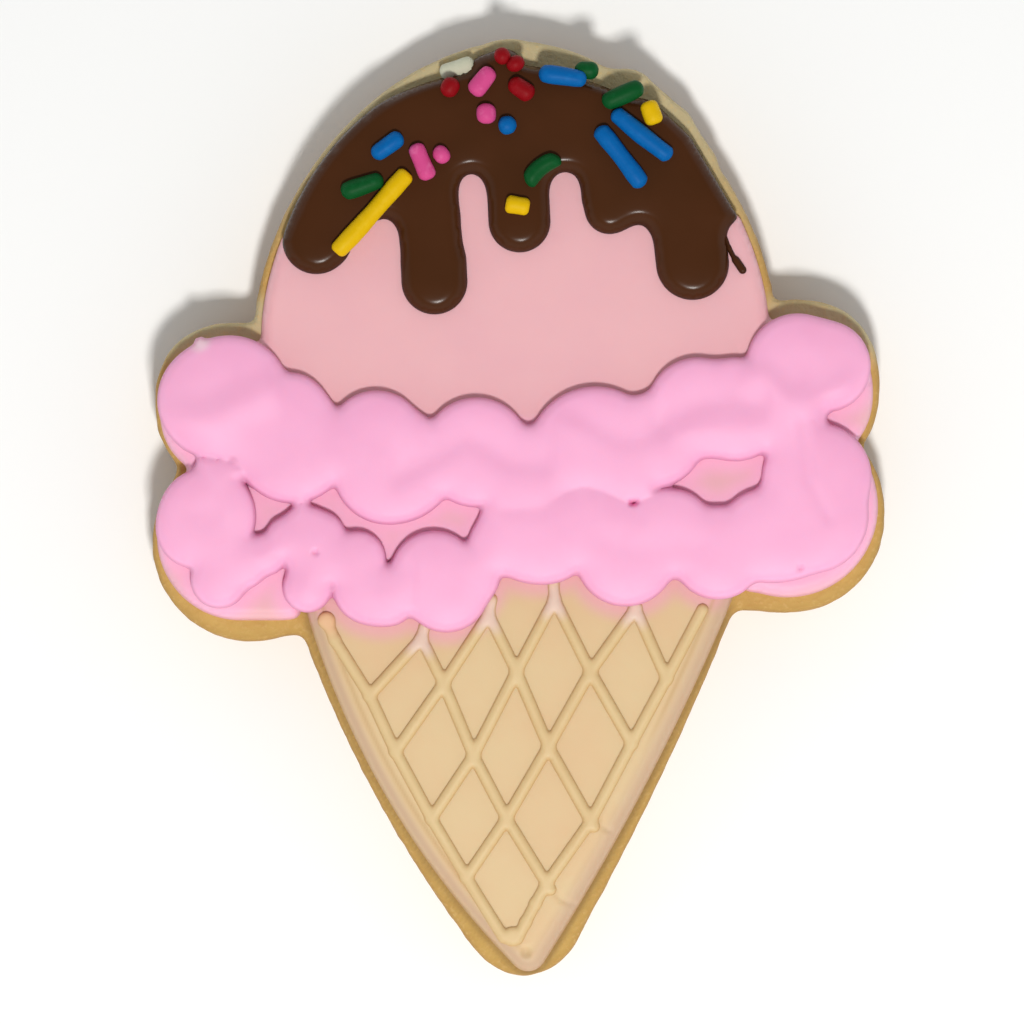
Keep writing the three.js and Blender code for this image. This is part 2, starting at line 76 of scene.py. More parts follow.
Array = np.ndarray
Field = Callable[[Array, Array], Array]
Point = tuple[float, float]
Line = tuple[Point, ...]
Triple = tuple[float, float, float]
Piece = bpy.types.Object
Tree = bpy.types.NodeTree
Link = bpy.types.NodeSocket


# -------------------- fields


def disc(x: float, y: float, radius: float) -> Field:
    """A round outline."""
    return lambda px, py: np.hypot(px - x, py - y) - radius


def bar(start: Point, end: Point, radius: float) -> Field:
    """A round-ended bar.

    Args:
        start: One end of its middle line.
        end: The other end.
        radius: Half its width.

    Returns:
        The bar's field.
    """
    (x, y), (ax, ay) = start, (end[0] - start[0], end[1] - start[1])

    def value(px: Array, py: Array) -> Array:
        """Distance from the bar's edge."""
        along = np.clip(((px - x) * ax + (py - y) * ay) / (ax * ax + ay * ay), 0, 1)
        return np.hypot(px - x - along * ax, py - y - along * ay) - radius

    return value


def behind_line(x: float, y: float, degrees: float) -> Field:
    """Everything behind the line through (x, y) whose outward normal stands at an angle."""
    cos, sin = math.cos(math.radians(degrees)), math.sin(math.radians(degrees))
    return lambda px, py: (px - x) * cos + (py - y) * sin


def arc_through(a: Point, b: Point, c: Point) -> Field:
    """The disc whose edge runs through three points, for a side with a slight bulge.

    Args:
        a: First point.
        b: Second point.
        c: Third point.

    Returns:
        The disc's field.
    """
    (x1, y1), (x2, y2), (x3, y3) = a, b, c
    d = 2 * (x1 * (y2 - y3) + x2 * (y3 - y1) + x3 * (y1 - y2))
    s1, s2, s3 = x1 * x1 + y1 * y1, x2 * x2 + y2 * y2, x3 * x3 + y3 * y3
    cx = (s1 * (y2 - y3) + s2 * (y3 - y1) + s3 * (y1 - y2)) / d
    cy = (s1 * (x3 - x2) + s2 * (x1 - x3) + s3 * (x2 - x1)) / d
    return disc(cx, cy, math.hypot(x1 - cx, y1 - cy))


def slope_of(form: Field, px: Array, py: Array) -> tuple[Array, Array]:
    """The slope of a field, in x and in y."""
    e = 0.02
    return (form(px + e, py) - form(px - e, py)) / (2 * e), (form(px, py + e) - form(px, py - e)) / (2 * e)


def super_ellipse(x: float, y: float, half_width: float, half_height: float, power: float) -> Field:
    """An ellipse whose power sets its fullness: above 2 it is squarer, below 2 more pointed.

    Args:
        x: Middle, in x.
        y: Middle, in y.
        half_width: Half its width.
        half_height: Half its height.
        power: Its fullness.

    Returns:
        The ellipse's field.
    """

    def raw(px: Array, py: Array) -> Array:
        """Zero on the ellipse, and not yet a distance."""
        u = np.abs((px - x) / half_width) ** power
        v = np.abs((py - y) / half_height) ** power
        return (u + v) ** (1 / power) - 1

    def value(px: Array, py: Array) -> Array:
        """Distance from the ellipse."""
        return raw(px, py) / np.maximum(np.hypot(*slope_of(raw, px, py)), 1e-3)

    return value


def join(blend: float, *forms: Field) -> Field:
    """Joins fields.

    Args:
        blend: Over how much the corner where two meet is filled.
        *forms: The fields.

    Returns:
        The joined field.
    """

    def value(px: Array, py: Array) -> Array:
        """Measures from the joined outline.

        Args:
            px: Places from left to right.
            py: Places from bottom to top.

        Returns:
            The distances, below zero inside.
        """
        result = forms[0](px, py)
        for form in forms[1:]:
            other = form(px, py)
            near = np.maximum(blend - np.abs(result - other), 0) / blend
            result = np.minimum(result, other) - near * near * blend / 4
        return result

    return value


def common(radius: float, *forms: Field) -> Field:
    """Keeps what lies inside every field.

    Args:
        radius: The radius its corners are rounded to.
        *forms: The fields.

    Returns:
        The common field.
    """

    def value(px: Array, py: Array) -> Array:
        """Measures from the common outline.

        Args:
            px: Places from left to right.
            py: Places from bottom to top.

        Returns:
            The distances, below zero inside.
        """
        result = forms[0](px, py)
        for form in forms[1:]:
            other = form(px, py)
            outside = np.hypot(np.maximum(result + radius, 0), np.maximum(other + radius, 0))
            result = np.where(outside > 0, outside - radius, np.maximum(result, other))
        return result

    return value


def cut_by(radius: float, form: Field, tool: Field) -> Field:
    """Takes the tool out of a field."""
    return common(radius, form, lambda px, py: -tool(px, py))


def inset(form: Field, distance: float) -> Field:
    """Draws an outline in by a distance, or out by a distance below zero."""
    return lambda px, py: form(px, py) + distance


def nearest(lines: Sequence[Sequence[Point]]) -> Field:
    """The distance from the nearest of several bent lines."""
    bars = [bar(a, b, 0.0) for line in lines for a, b in zip(line, line[1:])]
    return lambda px, py: np.minimum.reduce([each(px, py) for each in bars])


def crease(line: Sequence[Triple]) -> Field:
    """The distance from a bent line, plus a number that changes along it.

    Args:
        line: Its points, each x, y and the number there, smaller where the crease is deeper.

    Returns:
        The crease's field.
    """

    def value(px: Array, py: Array) -> Array:
        """Measures from the line.

        Args:
            px: Places from left to right.
            py: Places from bottom to top.

        Returns:
            The distances, plus the number at the nearest place on the line.
        """
        best = np.full_like(px, np.inf)
        for (ax, ay, a), (bx, by, b) in zip(line, line[1:]):
            dx, dy = bx - ax, by - ay
            along = np.clip(((px - ax) * dx + (py - ay) * dy) / (dx * dx + dy * dy), 0, 1)
            away = np.hypot(px - ax - along * dx, py - ay - along * dy)
            best = np.minimum(best, away + a + along * (b - a))
        return best

    return value


def ripple(px: Array, py: Array, size: float, seed: int) -> Array:
    """Soft unevenness, from crossing waves.

    Args:
        px: Where, in x.
        py: Where, in y.
        size: The usual distance between two swells.
        seed: Which draw of the waves.

    Returns:
        A height from about -1 to 1.
    """
    draw = np.random.default_rng(seed)
    total = np.zeros_like(px)
    waves = 7
    for _ in range(waves):
        turn, phase = draw.uniform(0, 2 * math.pi, 2)
        rate = 2 * math.pi / (size * draw.uniform(0.7, 1.5))
        total += np.sin(rate * (px * math.cos(turn) + py * math.sin(turn)) + phase)
    return total / math.sqrt(2 * waves)


def dome(depth: Array, width: float, power: float) -> Array:
    """The share of its height that an icing reaches at a depth. A power above 2 is a squarer edge."""
    away = 1 - np.clip(depth / width, 0, 1)
    return (1 - away**power) ** (1 / power)


def hump(values: Array, middle: float, width: float, power: int = 2) -> Array:
    """1 at a middle value, falling softly to 0 over a width on both sides of it."""
    return np.exp(-(((values - middle) / width) ** power))


def share_of(values: Array, none: float, full: float) -> Array:
    """How far values have gone from none to full, from 0 to 1, with a soft start and end."""
    share = np.clip((values - none) / (full - none), 0, 1)
    return share * share * (3 - 2 * share)


# -------------------- mesh tools


@dataclass(frozen=True)
class Box:
    """A rectangle seen from above, in millimetres."""

    left: float
    right: float
    bottom: float
    top: float


def deselect_all() -> None:
    """Nothing stays selected, so that an operator acts on its own piece alone."""
    for other in bpy.context.view_layer.objects:
        other.select_set(False)


def pick(piece: Piece) -> None:
    """Makes a piece the only one selected."""
    deselect_all()
    piece.select_set(True)
    bpy.context.view_layer.objects.active = piece


class Select(Enum):
    """What an operator in edit mode works on."""

    VERTICES = (True, False, False)
    EDGES = (False, True, False)
    FACES = (False, False, True)


def edit(piece: Piece, what: Select, everything: bool = False) -> None:
    """Opens a piece in edit mode.

    Args:
        piece: The piece.
        what: What the next operators work on.
        everything: Whether all of it is selected, instead of what was selected before.
    """
    pick(piece)
    bpy.context.tool_settings.mesh_select_mode = what.value
    bpy.ops.object.mode_set(mode="EDIT")
    if everything:
        bpy.ops.mesh.select_all(action="SELECT")


def leave_edit() -> None:
    """Goes back to object mode."""
    bpy.ops.object.mode_set(mode="OBJECT")


def face_outwards() -> None:
    """Turns all faces outwards and ends the edit."""
    bpy.ops.mesh.select_all(action="SELECT")
    bpy.ops.mesh.normals_make_consistent(inside=False)
    leave_edit()


def points_of(piece: Piece) -> Array:
    """A piece's points, one row each, in millimetres."""
    flat = np.empty(len(piece.data.vertices) * 3)
    piece.data.vertices.foreach_get("co", flat)
    return flat.reshape(-1, 3) / MM


def place_points(piece: Piece, points: Array) -> None:
    """Writes a piece's points, given in millimetres."""
    piece.data.vertices.foreach_set("co", (points * MM).ravel())
    piece.data.update()


def seen_from_above(piece: Piece) -> tuple[Array, Array]:
    """Where a piece's points lie, in x and in y."""
    x, y = points_of(piece)[:, :2].T
    return x, y


def set_heights(piece: Piece, heights: Array) -> None:
    """Writes the heights of a piece's points, in millimetres."""
    points = points_of(piece)
    points[:, 2] = heights
    place_points(piece, points)


def chosen(piece: Piece) -> Array:
    """Which of a piece's points are selected."""
    flags = np.empty(len(piece.data.vertices), bool)
    piece.data.vertices.foreach_get("select", flags)
    return flags


def choose(piece: Piece, flags: Array) -> None:
    """Selects points by a rule worked out from their places.

    Args:
        piece: The piece, in object mode.
        flags: True for each point to select.
    """
    for part in (piece.data.polygons, piece.data.edges):
        part.foreach_set("select", np.zeros(len(part), bool))
    piece.data.vertices.foreach_set("select", flags)


def rim_edges(piece: Piece) -> Array:
    """Finds the edges that have one face only.

    Args:
        piece: The piece.

    Returns:
        The numbers of their end points, one pair a row.
    """
    mesh = piece.data
    used = np.empty(len(mesh.loops), int)
    mesh.loops.foreach_get("edge_index", used)
    ends = np.empty(len(mesh.edges) * 2, int)
    mesh.edges.foreach_get("vertices", ends)
    return ends.reshape(-1, 2)[np.bincount(used, minlength=len(mesh.edges)) == 1]


def slide(form: Field, points: Array, value: float, rounds: int = 8) -> Array:
    """Moves points along the slope of a field until it has the wanted value there.

    Args:
        form: The field.
        points: The points, x and y in the first two columns.
        value: The wanted value.
        rounds: How often they are moved.

    Returns:
        The moved points.
    """
    moved = points.copy()
    longest, flattest = 0.3, 0.1
    for _ in range(rounds):
        px, py = moved[:, 0], moved[:, 1]
        miss = np.clip(form(px, py) - value, -longest, longest)
        gx, gy = slope_of(form, px, py)
        steep = np.maximum(gx * gx + gy * gy, flattest)
        moved[:, 0] = px - miss * gx / steep
        moved[:, 1] = py - miss * gy / steep
    return moved


def lay_grid(name: str, box: Box, spacing: float) -> Piece:
    """Lays a flat grid that covers a box.

    Args:
        name: The piece's name.
        box: What it covers.
        spacing: Between two of its points.

    Returns:
        The new piece.
    """
    deselect_all()
    width, height = box.right - box.left, box.top - box.bottom
    bpy.ops.mesh.primitive_grid_add(
        x_subdivisions=round(width / spacing),
        y_subdivisions=round(height / spacing),
        size=1.0,
        location=((box.left + box.right) / 2 * MM, (box.bottom + box.top) / 2 * MM, 0),
    )
    piece = bpy.context.object
    piece.name = piece.data.name = name
    piece.scale = (width * MM, height * MM, 1)
    bpy.ops.object.transform_apply(location=True, rotation=True, scale=True)
    return piece


def trim(piece: Piece, outline: Field, spacing: float) -> None:
    """Cuts a grid along an outline and evens out the points near it.

    Args:
        piece: The grid.
        outline: Where it is cut.
        spacing: Between two of the grid's points.
    """
    points = points_of(piece)
    choose(piece, outline(points[:, 0], points[:, 1]) > 0)
    edit(piece, Select.VERTICES)
    bpy.ops.mesh.delete(type="VERT")
    bpy.ops.mesh.select_all(action="SELECT")
    bpy.ops.mesh.delete_loose()
    leave_edit()

    rim, points = np.unique(rim_edges(piece)), points_of(piece)
    points[rim] = slide(outline, points[rim], 0.0)
    place_points(piece, points)
    edit(piece, Select.VERTICES, everything=True)
    bpy.ops.mesh.remove_doubles(threshold=0.3 * spacing * MM)
    bpy.ops.mesh.dissolve_degenerate(threshold=0.02 * spacing * MM)
    leave_edit()

    # The rim's points are spread evenly along the outline, then their inner neighbours follow.
    pairs, points = rim_edges(piece), points_of(piece)
    rim = np.unique(pairs)
    for _ in range(4):
        total, count = np.zeros_like(points), np.zeros(len(points))
        for one, other in ((0, 1), (1, 0)):
            np.add.at(total, pairs[:, one], points[pairs[:, other]])
            np.add.at(count, pairs[:, one], 1)
        points[rim] = 0.5 * points[rim] + 0.5 * total[rim] / count[rim, None]
        points[rim] = slide(outline, points[rim], 0.0, 3)
    place_points(piece, points)
    near = outline(points[:, 0], points[:, 1]) > -2.5 * spacing
    near[rim] = False
    choose(piece, near)
    edit(piece, Select.VERTICES)
    bpy.ops.mesh.vertices_smooth(factor=0.5, repeat=3)
    leave_edit()


def copy_floor(piece: Piece, top: int, last: Array, height: float) -> None:
    """Closes a piece with a flat copy of its top, for a rim with creases too fine for a plain fill.

    Args:
        piece: The piece, open below, with the first places of its points in the attribute home.
        top: How many of its points are those of the top.
        last: Which of its points are on the last ring.
        height: The height of the floor.
    """
    choose(piece, np.arange(len(piece.data.vertices)) < top)
    edit(piece, Select.VERTICES)
    bpy.ops.mesh.duplicate()
    leave_edit()
    low = chosen(piece)
    low[: len(last)] |= last
    points = points_of(piece)
    home = piece.data.attributes["home"]
    places = np.empty(points.size, np.float32)
    home.data.foreach_get("vector", places)
    points[low] = places.reshape(-1, 3)[low]
    points[low, 2] = height
    place_points(piece, points)
    piece.data.attributes.remove(home)
    edit(piece, Select.VERTICES, everything=True)
    bpy.ops.mesh.remove_doubles(threshold=SAME_PLACE)


def drop_rim(piece: Piece, outline: Field, rings: Sequence[Point], groove_shade: bool) -> None:
    """Draws the rim of a shaped top down to its floor, ring by ring, and closes the floor.

    Args:
        piece: The top, open below.
        outline: The outline it was cut along.
        rings: For each ring, how far it is drawn in from the outline, and its height, which is never
            above that of the ring before.
        groove_shade: Whether the rim has fine creases. Its last ring then lies straight below the top's rim.
    """
    top = points_of(piece)
    if groove_shade:
        piece.data.attributes.new("home", "FLOAT_VECTOR", "POINT").data.foreach_set("vector", top.ravel())
    for step, (drawn_in, height) in enumerate(rings):
        edit(piece, Select.EDGES)
        if step == 0:
            bpy.ops.mesh.select_all(action="DESELECT")
            bpy.ops.mesh.select_non_manifold(
                extend=False, use_wire=False, use_multi_face=False, use_non_contiguous=False, use_verts=False
            )
        bpy.ops.mesh.extrude_region_move()
        leave_edit()
        new = chosen(piece)
        points = points_of(piece)
        points[new] = slide(outline, points[new], -drawn_in, 4)
        points[new, 2] = np.minimum(points[new, 2], height)
        place_points(piece, points)
    if groove_shade:
        copy_floor(piece, len(top), new, height)
    else:
        edit(piece, Select.EDGES)
        bpy.ops.mesh.fill(use_beauty=False)
    face_outwards()


def depth_inside(piece: Piece, outline: Field) -> Array:
    """How far in from its rim each point of a trimmed grid lies.

    Args:
        piece: The grid, trimmed and still flat.
        outline: The outline it was cut along, which is a true distance only near the rim.

    Returns:
        The depth of each point.
    """
    points = points_of(piece)
    rim = np.unique(rim_edges(piece))
    tree = KDTree(len(rim))
    for index in rim:
        tree.insert((points[index, 0], points[index, 1], 0), int(index))
    tree.balance()
    far = np.array([tree.find((x, y, 0))[2] for x, y, _ in points])
    # The field counts up to this depth, and the measured distance from this much deeper on.
    near, change = 0.5, 0.7
    share = np.clip((far - near) / change, 0, 1)
    return (1 - share) * -outline(points[:, 0], points[:, 1]) + share * far


def ease_heights(piece: Piece, flags: Array, repeat: int) -> None:
    """Smooths the heights of some of a piece's points and leaves their places.

    Args:
        piece: The piece.
        flags: True for each point to smooth.
        repeat: How many times.
    """
    choose(piece, flags)
    edit(piece, Select.VERTICES)
    bpy.ops.mesh.vertices_smooth(factor=0.5, repeat=repeat, xaxis=False, yaxis=False)
    leave_edit()


def note(piece: Piece, name: str, values: Array) -> None:
    """Writes one number a point on a piece, for its finish to read."""
    attribute = piece.data.attributes.new(name, "FLOAT", "POINT")
    attribute.data.foreach_set("value", values.astype(np.float32))


def smooth(piece: Piece, degrees: float) -> None:
    """Shades a piece smooth, but for the edges sharper than an angle."""
    pick(piece)
    bpy.ops.object.shade_smooth_by_angle(angle=math.radians(degrees))


# -------------------- finishes


def linear(hex_colour: int) -> tuple[float, float, float, float]:
    """An sRGB colour as the linear one that a shader takes."""
    shares = [((hex_colour >> shift) & 255) / 255 for shift in (16, 8, 0)]
    r, g, b = (c / 12.92 if c <= 0.04045 else ((c + 0.055) / 1.055) ** 2.4 for c in shares)
    return r, g, b, 1.0


def every(size: float) -> float:
    """The scale that repeats a pattern every so many millimetres."""
    return 1 / (size * MM)


def add_node(tree: Tree, kind: str, settings: dict, inputs: dict) -> bpy.types.Node:
    """Adds a node.

    Args:
        tree: The material's nodes.
        kind: The node's type.
        settings: Its own settings.
        inputs: Its inputs by name or number, each a constant or another node's output.

    Returns:
        The new node.
    """
    node = tree.nodes.new(kind)
    for name, value in settings.items():
        setattr(node, name, value)
    for name, value in inputs.items():
        if isinstance(value, Link):
            tree.links.new(value, node.inputs[name])
        else:
            node.inputs[name].default_value = value
    return node


MIX_SHARE, MIX_A, MIX_B, MIX_OUT = 0, 6, 7, 2  # a colour Mix node's sockets


def blend_colours(tree: Tree, share: Link, low: int | Link, high: int) -> Link:
    """A colour between two, by a share from 0 to 1. The first is an sRGB colour or a node's."""
    low = linear(low) if isinstance(low, int) else low
    inputs = {MIX_SHARE: share, MIX_A: low, MIX_B: linear(high)}
    return add_node(tree, "ShaderNodeMix", {"data_type": "RGBA"}, inputs).outputs[MIX_OUT]


def from_to(tree: Tree, value: Link, low: float, high: float, top: float = 1.0) -> Link:
    """A value turned to a share that rises from 0 at low to top at high."""
    span = {"Value": value, "From Min": low, "From Max": high, "To Min": 0.0, "To Max": top}
    return add_node(tree, "ShaderNodeMapRange", {"interpolation_type": "SMOOTHSTEP"}, span).outputs[0]


def grain(tree: Tree, size: float, detail: float = 2.0) -> Link:
    """Noise that repeats about every so many millimetres."""
    place = add_node(tree, "ShaderNodeTexCoord", {}, {}).outputs["Object"]
    settings = {"Vector": place, "Scale": every(size), "Detail": detail, "Roughness": 0.55}
    return add_node(tree, "ShaderNodeTexNoise", {}, settings).outputs["Fac"]


def read(tree: Tree, name: str) -> Link:
    """A number that was noted on the piece's points."""
    return add_node(tree, "ShaderNodeAttribute", {"attribute_name": name}, {}).outputs["Fac"]


def bumps(tree: Tree, *heights: tuple[Link, float]) -> Link:
    """Bump, layer on layer.

    Args:
        tree: The material's nodes.
        *heights: Each layer's height and how far it stands up, in millimetres.

    Returns:
        The bumped normal.
    """
    normal = None
    for height, distance in heights:
        layer = {"Height": height, "Distance": distance * MM, "Strength": 1.0}
        if normal:
            layer["Normal"] = normal
        normal = add_node(tree, "ShaderNodeBump", {}, layer).outputs["Normal"]
    return normal


@dataclass(frozen=True)
class Finish:
    """A surface: its name and the constants of its shader."""

    name: str
    roughness: float
    ior: float = 1.45
    subsurface: float = 0.0
    # How far red, green and blue light spread under the surface, in millimetres.
    subsurface_reach: Triple = (1.0, 0.6, 0.5)

    def colour(self, tree: Tree) -> Link:
        """The surface's colour."""
        raise NotImplementedError

    def relief(self, tree: Tree) -> Link:
        """The surface's fine relief."""
        raise NotImplementedError

    def material(self) -> bpy.types.Material:
        """Makes the material.

        Returns:
            The new material.
        """
        made = bpy.data.materials.new(self.name)
        made.use_nodes = True
        tree = made.node_tree
        tree.nodes.clear()
        sockets = {
            "Base Color": self.colour(tree), "Normal": self.relief(tree),
            "Roughness": self.roughness, "IOR": self.ior,
            "Subsurface Weight": self.subsurface, "Subsurface Radius": self.subsurface_reach,
            "Subsurface Scale": MM,
        }  # fmt: skip
        shader = add_node(tree, "ShaderNodeBsdfPrincipled", {}, sockets)
        add_node(tree, "ShaderNodeOutputMaterial", {}, {"Surface": shader.outputs[0]})
        return made


@dataclass(frozen=True)
class BakedBiscuit(Finish):
    """Rolled sugar biscuit, baked pale. The eye sees sandy crumb and a rim that browned more."""

    pale: int = 0xC7A25A
    brown: int = 0xA87D3E
    crumb: int = 0xD4B071
    # Painted shade: the cool grey of the far rims.
    far_rim_shade_grey: int = 0xC2B894
    # Painted shade: the dark line beside the tan icing.
    icing_join_shade: int = 0x8E7042

    def colour(self, tree: Tree) -> Link:
        """Pale in the middle, browner towards the rim and the underside, with flecks of crumb, greyed by
        painted shade along the far rims, and darkened by painted shade beside the tan icing.

        Args:
            tree: The finish's nodes.

        Returns:
            The colour.
        """
        rim = from_to(tree, read(tree, "browned"), 0.0, 1.0)
        base = blend_colours(tree, rim, self.pale, self.brown)
        patches = from_to(tree, grain(tree, 3.5), 0.4, 0.75, 0.25)
        base = blend_colours(tree, patches, base, self.brown)
        # Painted shade: the far rims of the scoop and the lobes greyed.
        base = blend_colours(tree, read(tree, "far_rim_shade"), base, self.far_rim_shade_grey)
        flecks = from_to(tree, grain(tree, 0.45, 3.0), 0.5, 0.75, 0.45)
        base = blend_colours(tree, flecks, base, self.crumb)
        # Painted shade beside the tan icing's edge.
        return blend_colours(tree, read(tree, "icing_join_shade"), base, self.icing_join_shade)

    def relief(self, tree: Tree) -> Link:
        """Sandy crumb of half a millimetre over soft swells."""
        return bumps(tree, (grain(tree, 1.8), 0.08), (grain(tree, 0.45, 4.0), 0.11))


@dataclass(frozen=True)
class SetIcing(Finish):
    """Royal icing, piped or flooded and left to set. The eye sees a smooth satin skin and a slightly
    uneven tint where the colour settled. A thin darker line of painted shade runs along its edge."""

    tint: int = 0xE7B0B5
    deep: int = 0xDFA3AB
    # The painted shade along the edge: its colour, how far in it reaches, and its share at the very edge.
    edge: int = 0xC98C97
    edge_width: float = 0.3
    edge_shade_share: float = 0.7
    # Marks laid over the tint, each the name of the number noted on the points, and the colour: such
    #     as dye that bled in from another icing, and on the tan icing painted shade in its groove.
    stains: tuple[tuple[str, int], ...] = ()

    def colour(self, tree: Tree) -> Link:
        """The tint with cloudy settling, the noted marks laid over it, and painted shade darkening the edge.

        Args:
            tree: The finish's nodes.

        Returns:
            The colour.
        """
        clouds = from_to(tree, grain(tree, 9.0, 3.0), 0.35, 0.75)
        base = blend_colours(tree, clouds, self.tint, self.deep)
        for name, colour in self.stains:
            base = blend_colours(tree, read(tree, name), base, colour)
        # Painted shade: the edge darkened where the icing meets what it lies on.
        rim = from_to(tree, read(tree, "depth"), self.edge_width, 0.0, self.edge_shade_share)
        return blend_colours(tree, rim, base, self.edge)

    def relief(self, tree: Tree) -> Link:
        """Almost none: a set skin with faint grain a quarter of a millimetre wide."""
        return bumps(tree, (grain(tree, 3.0), 0.03), (grain(tree, 0.25), 0.003))


@dataclass(frozen=True)
class SugarStrandCoat(Finish):
    """A pressed sugar strand, dyed through and polished. The eye sees flat strong colour, worn a
    little paler where strands rubbed together in the jar."""

    dye: int = 0xFFFFFF
    worn: int = 0xFFFFFF

    def colour(self, tree: Tree) -> Link:
        """The dye, rubbed paler in small patches."""
        rubbed = from_to(tree, grain(tree, 0.8, 3.0), 0.5, 0.8, 0.6)
        return blend_colours(tree, rubbed, self.dye, self.worn)

    def relief(self, tree: Tree) -> Link:
        """A pressed surface, uneven over half a millimetre."""
        return bumps(tree, (grain(tree, 0.6), 0.03))


BISCUIT_FINISH = BakedBiscuit("baked_sugar_biscuit", roughness=0.85, subsurface=0.1)
# In each icing, edge is the colour of the painted shade along its rim.
SCOOP_FINISH = SetIcing(
    "pale_pink_icing", roughness=0.5, subsurface=0.3, deep=0xE5ADB4, edge=0xD99FA2,
    stains=(("bled", 0xF2B0CC),),
)  # fmt: skip
CONE_FINISH = SetIcing(
    "tan_icing", roughness=0.55, subsurface=0.25, tint=0xD8BC8F, deep=0xD8B78B,
    edge=0xBC946A, edge_width=0.35, edge_shade_share=0.75,
    # The last stain below is painted shade in the groove inside the bead.
    stains=(("bled", 0xDFAAA8), ("greyed", 0xBF9F86), ("groove_shade", 0xC09A67)),
)  # fmt: skip
NET_FINISH = SetIcing(
    "tan_piping", roughness=0.5, subsurface=0.1, tint=0xD5B988, deep=0xD3B482,
    edge=0xC9A26D, edge_width=0.28, edge_shade_share=0.75,
    stains=(("bled", 0xDFC2B4), ("free_end", 0xE0B488)),
)  # fmt: skip
DARK_FINISH = SetIcing(
    "dark_icing", roughness=0.22, ior=1.21, tint=0x472713, deep=0x432511, edge=0x2E140A,
)  # fmt: skip
RUFFLE_FINISH = SetIcing(
    "pink_icing", roughness=0.5, subsurface=0.35, tint=0xF3ADD1, deep=0xEFA7CC,
    edge=0xD286AA, edge_width=0.42, edge_shade_share=0.75,
    stains=(("pale_tip", 0xEFC9D6),),
)  # fmt: skip


class StrandColour(Enum):
    """The sugar strands' dyes: the colour, its worn shade and how far the ends are worn round."""

    RED = (0x860710, 0x981A26, 0.7)
    PINK = (0xCE4A86, 0xDE70A2, 0.5)
    BLUE = (0x005DA2, 0x0A6CB0, 0.7)
    GREEN = (0x054C20, 0x125C30, 0.7)
    YELLOW = (0xDAB002, 0xE2BC20, 0.1)
    WHITE = (0xC8C8B0, 0xDAD8C6, 0.6)


# -------------------- pieces


@dataclass(frozen=True)
class Role:
    """What a piece is called, the solid it stands for, its material slot and its finish."""

    name: str
    node: str
    slot: str | None
    finish: Finish

    def settle(self, piece: Piece) -> Piece:
        """Gives a piece its finish and its place in the frame.

        Args:
            piece: The finished mesh.

        Returns:
            The piece.
        """
        piece.data.materials.clear()
        piece.data.materials.append(self.finish.material())
        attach(piece, BODY)
        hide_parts(self.node)
        LOG.info("%s: %d faces, for %s", piece.name, len(piece.data.polygons), self.node)
        return piece


@dataclass(kw_only=True)
class Layer:
    """A layer of the cookie: a grid cut along an outline, raised, and closed down to its floor."""

    role: Role
    box: Box
    spacing: float
    # Each ring of the rim below the grid: how far in from the outline it lies, and its height.
    rings: Line
    # How far in from the outline the grid ends.
    rolled: float = 0.0
    # Whether the rim has fine creases.
    fine_creases: bool = False
    # Edges sharper than this many degrees stay sharp.
    sharp: float = 70.0
    # What its finish reads: each is noted on the points by the method of that name.
    notes: tuple[str, ...] = ("depth",)

    def outline(self) -> Field:
        """The layer's outline."""
        raise NotImplementedError

    def relief(self, x: Array, y: Array) -> Array:
        """The heights of its top."""
        raise NotImplementedError

    def depth(self, x: Array, y: Array, z: Array) -> Array:
        """How far in from the outline each point lies."""
        return -self.outline()(x, y)

    def raise_up(self, piece: Piece) -> None:
        """Gives the trimmed grid its relief."""
        set_heights(piece, self.relief(*seen_from_above(piece)))

    def wear(self, piece: Piece) -> None:
        """Makes the closed piece less even, where the real one is."""

    def make(self) -> list[Piece]:
        """Builds the layer.

        Returns:
            The piece.
        """
        outline = self.outline()
        piece = lay_grid(self.role.name, self.box, self.spacing)
        trim(piece, inset(outline, self.rolled), self.spacing)
        self.raise_up(piece)
        drop_rim(piece, outline, self.rings, self.fine_creases)
        self.wear(piece)
        for name in self.notes:
            note(piece, name, getattr(self, name)(*points_of(piece).T))
        smooth(piece, self.sharp)
        return [self.role.settle(piece)]


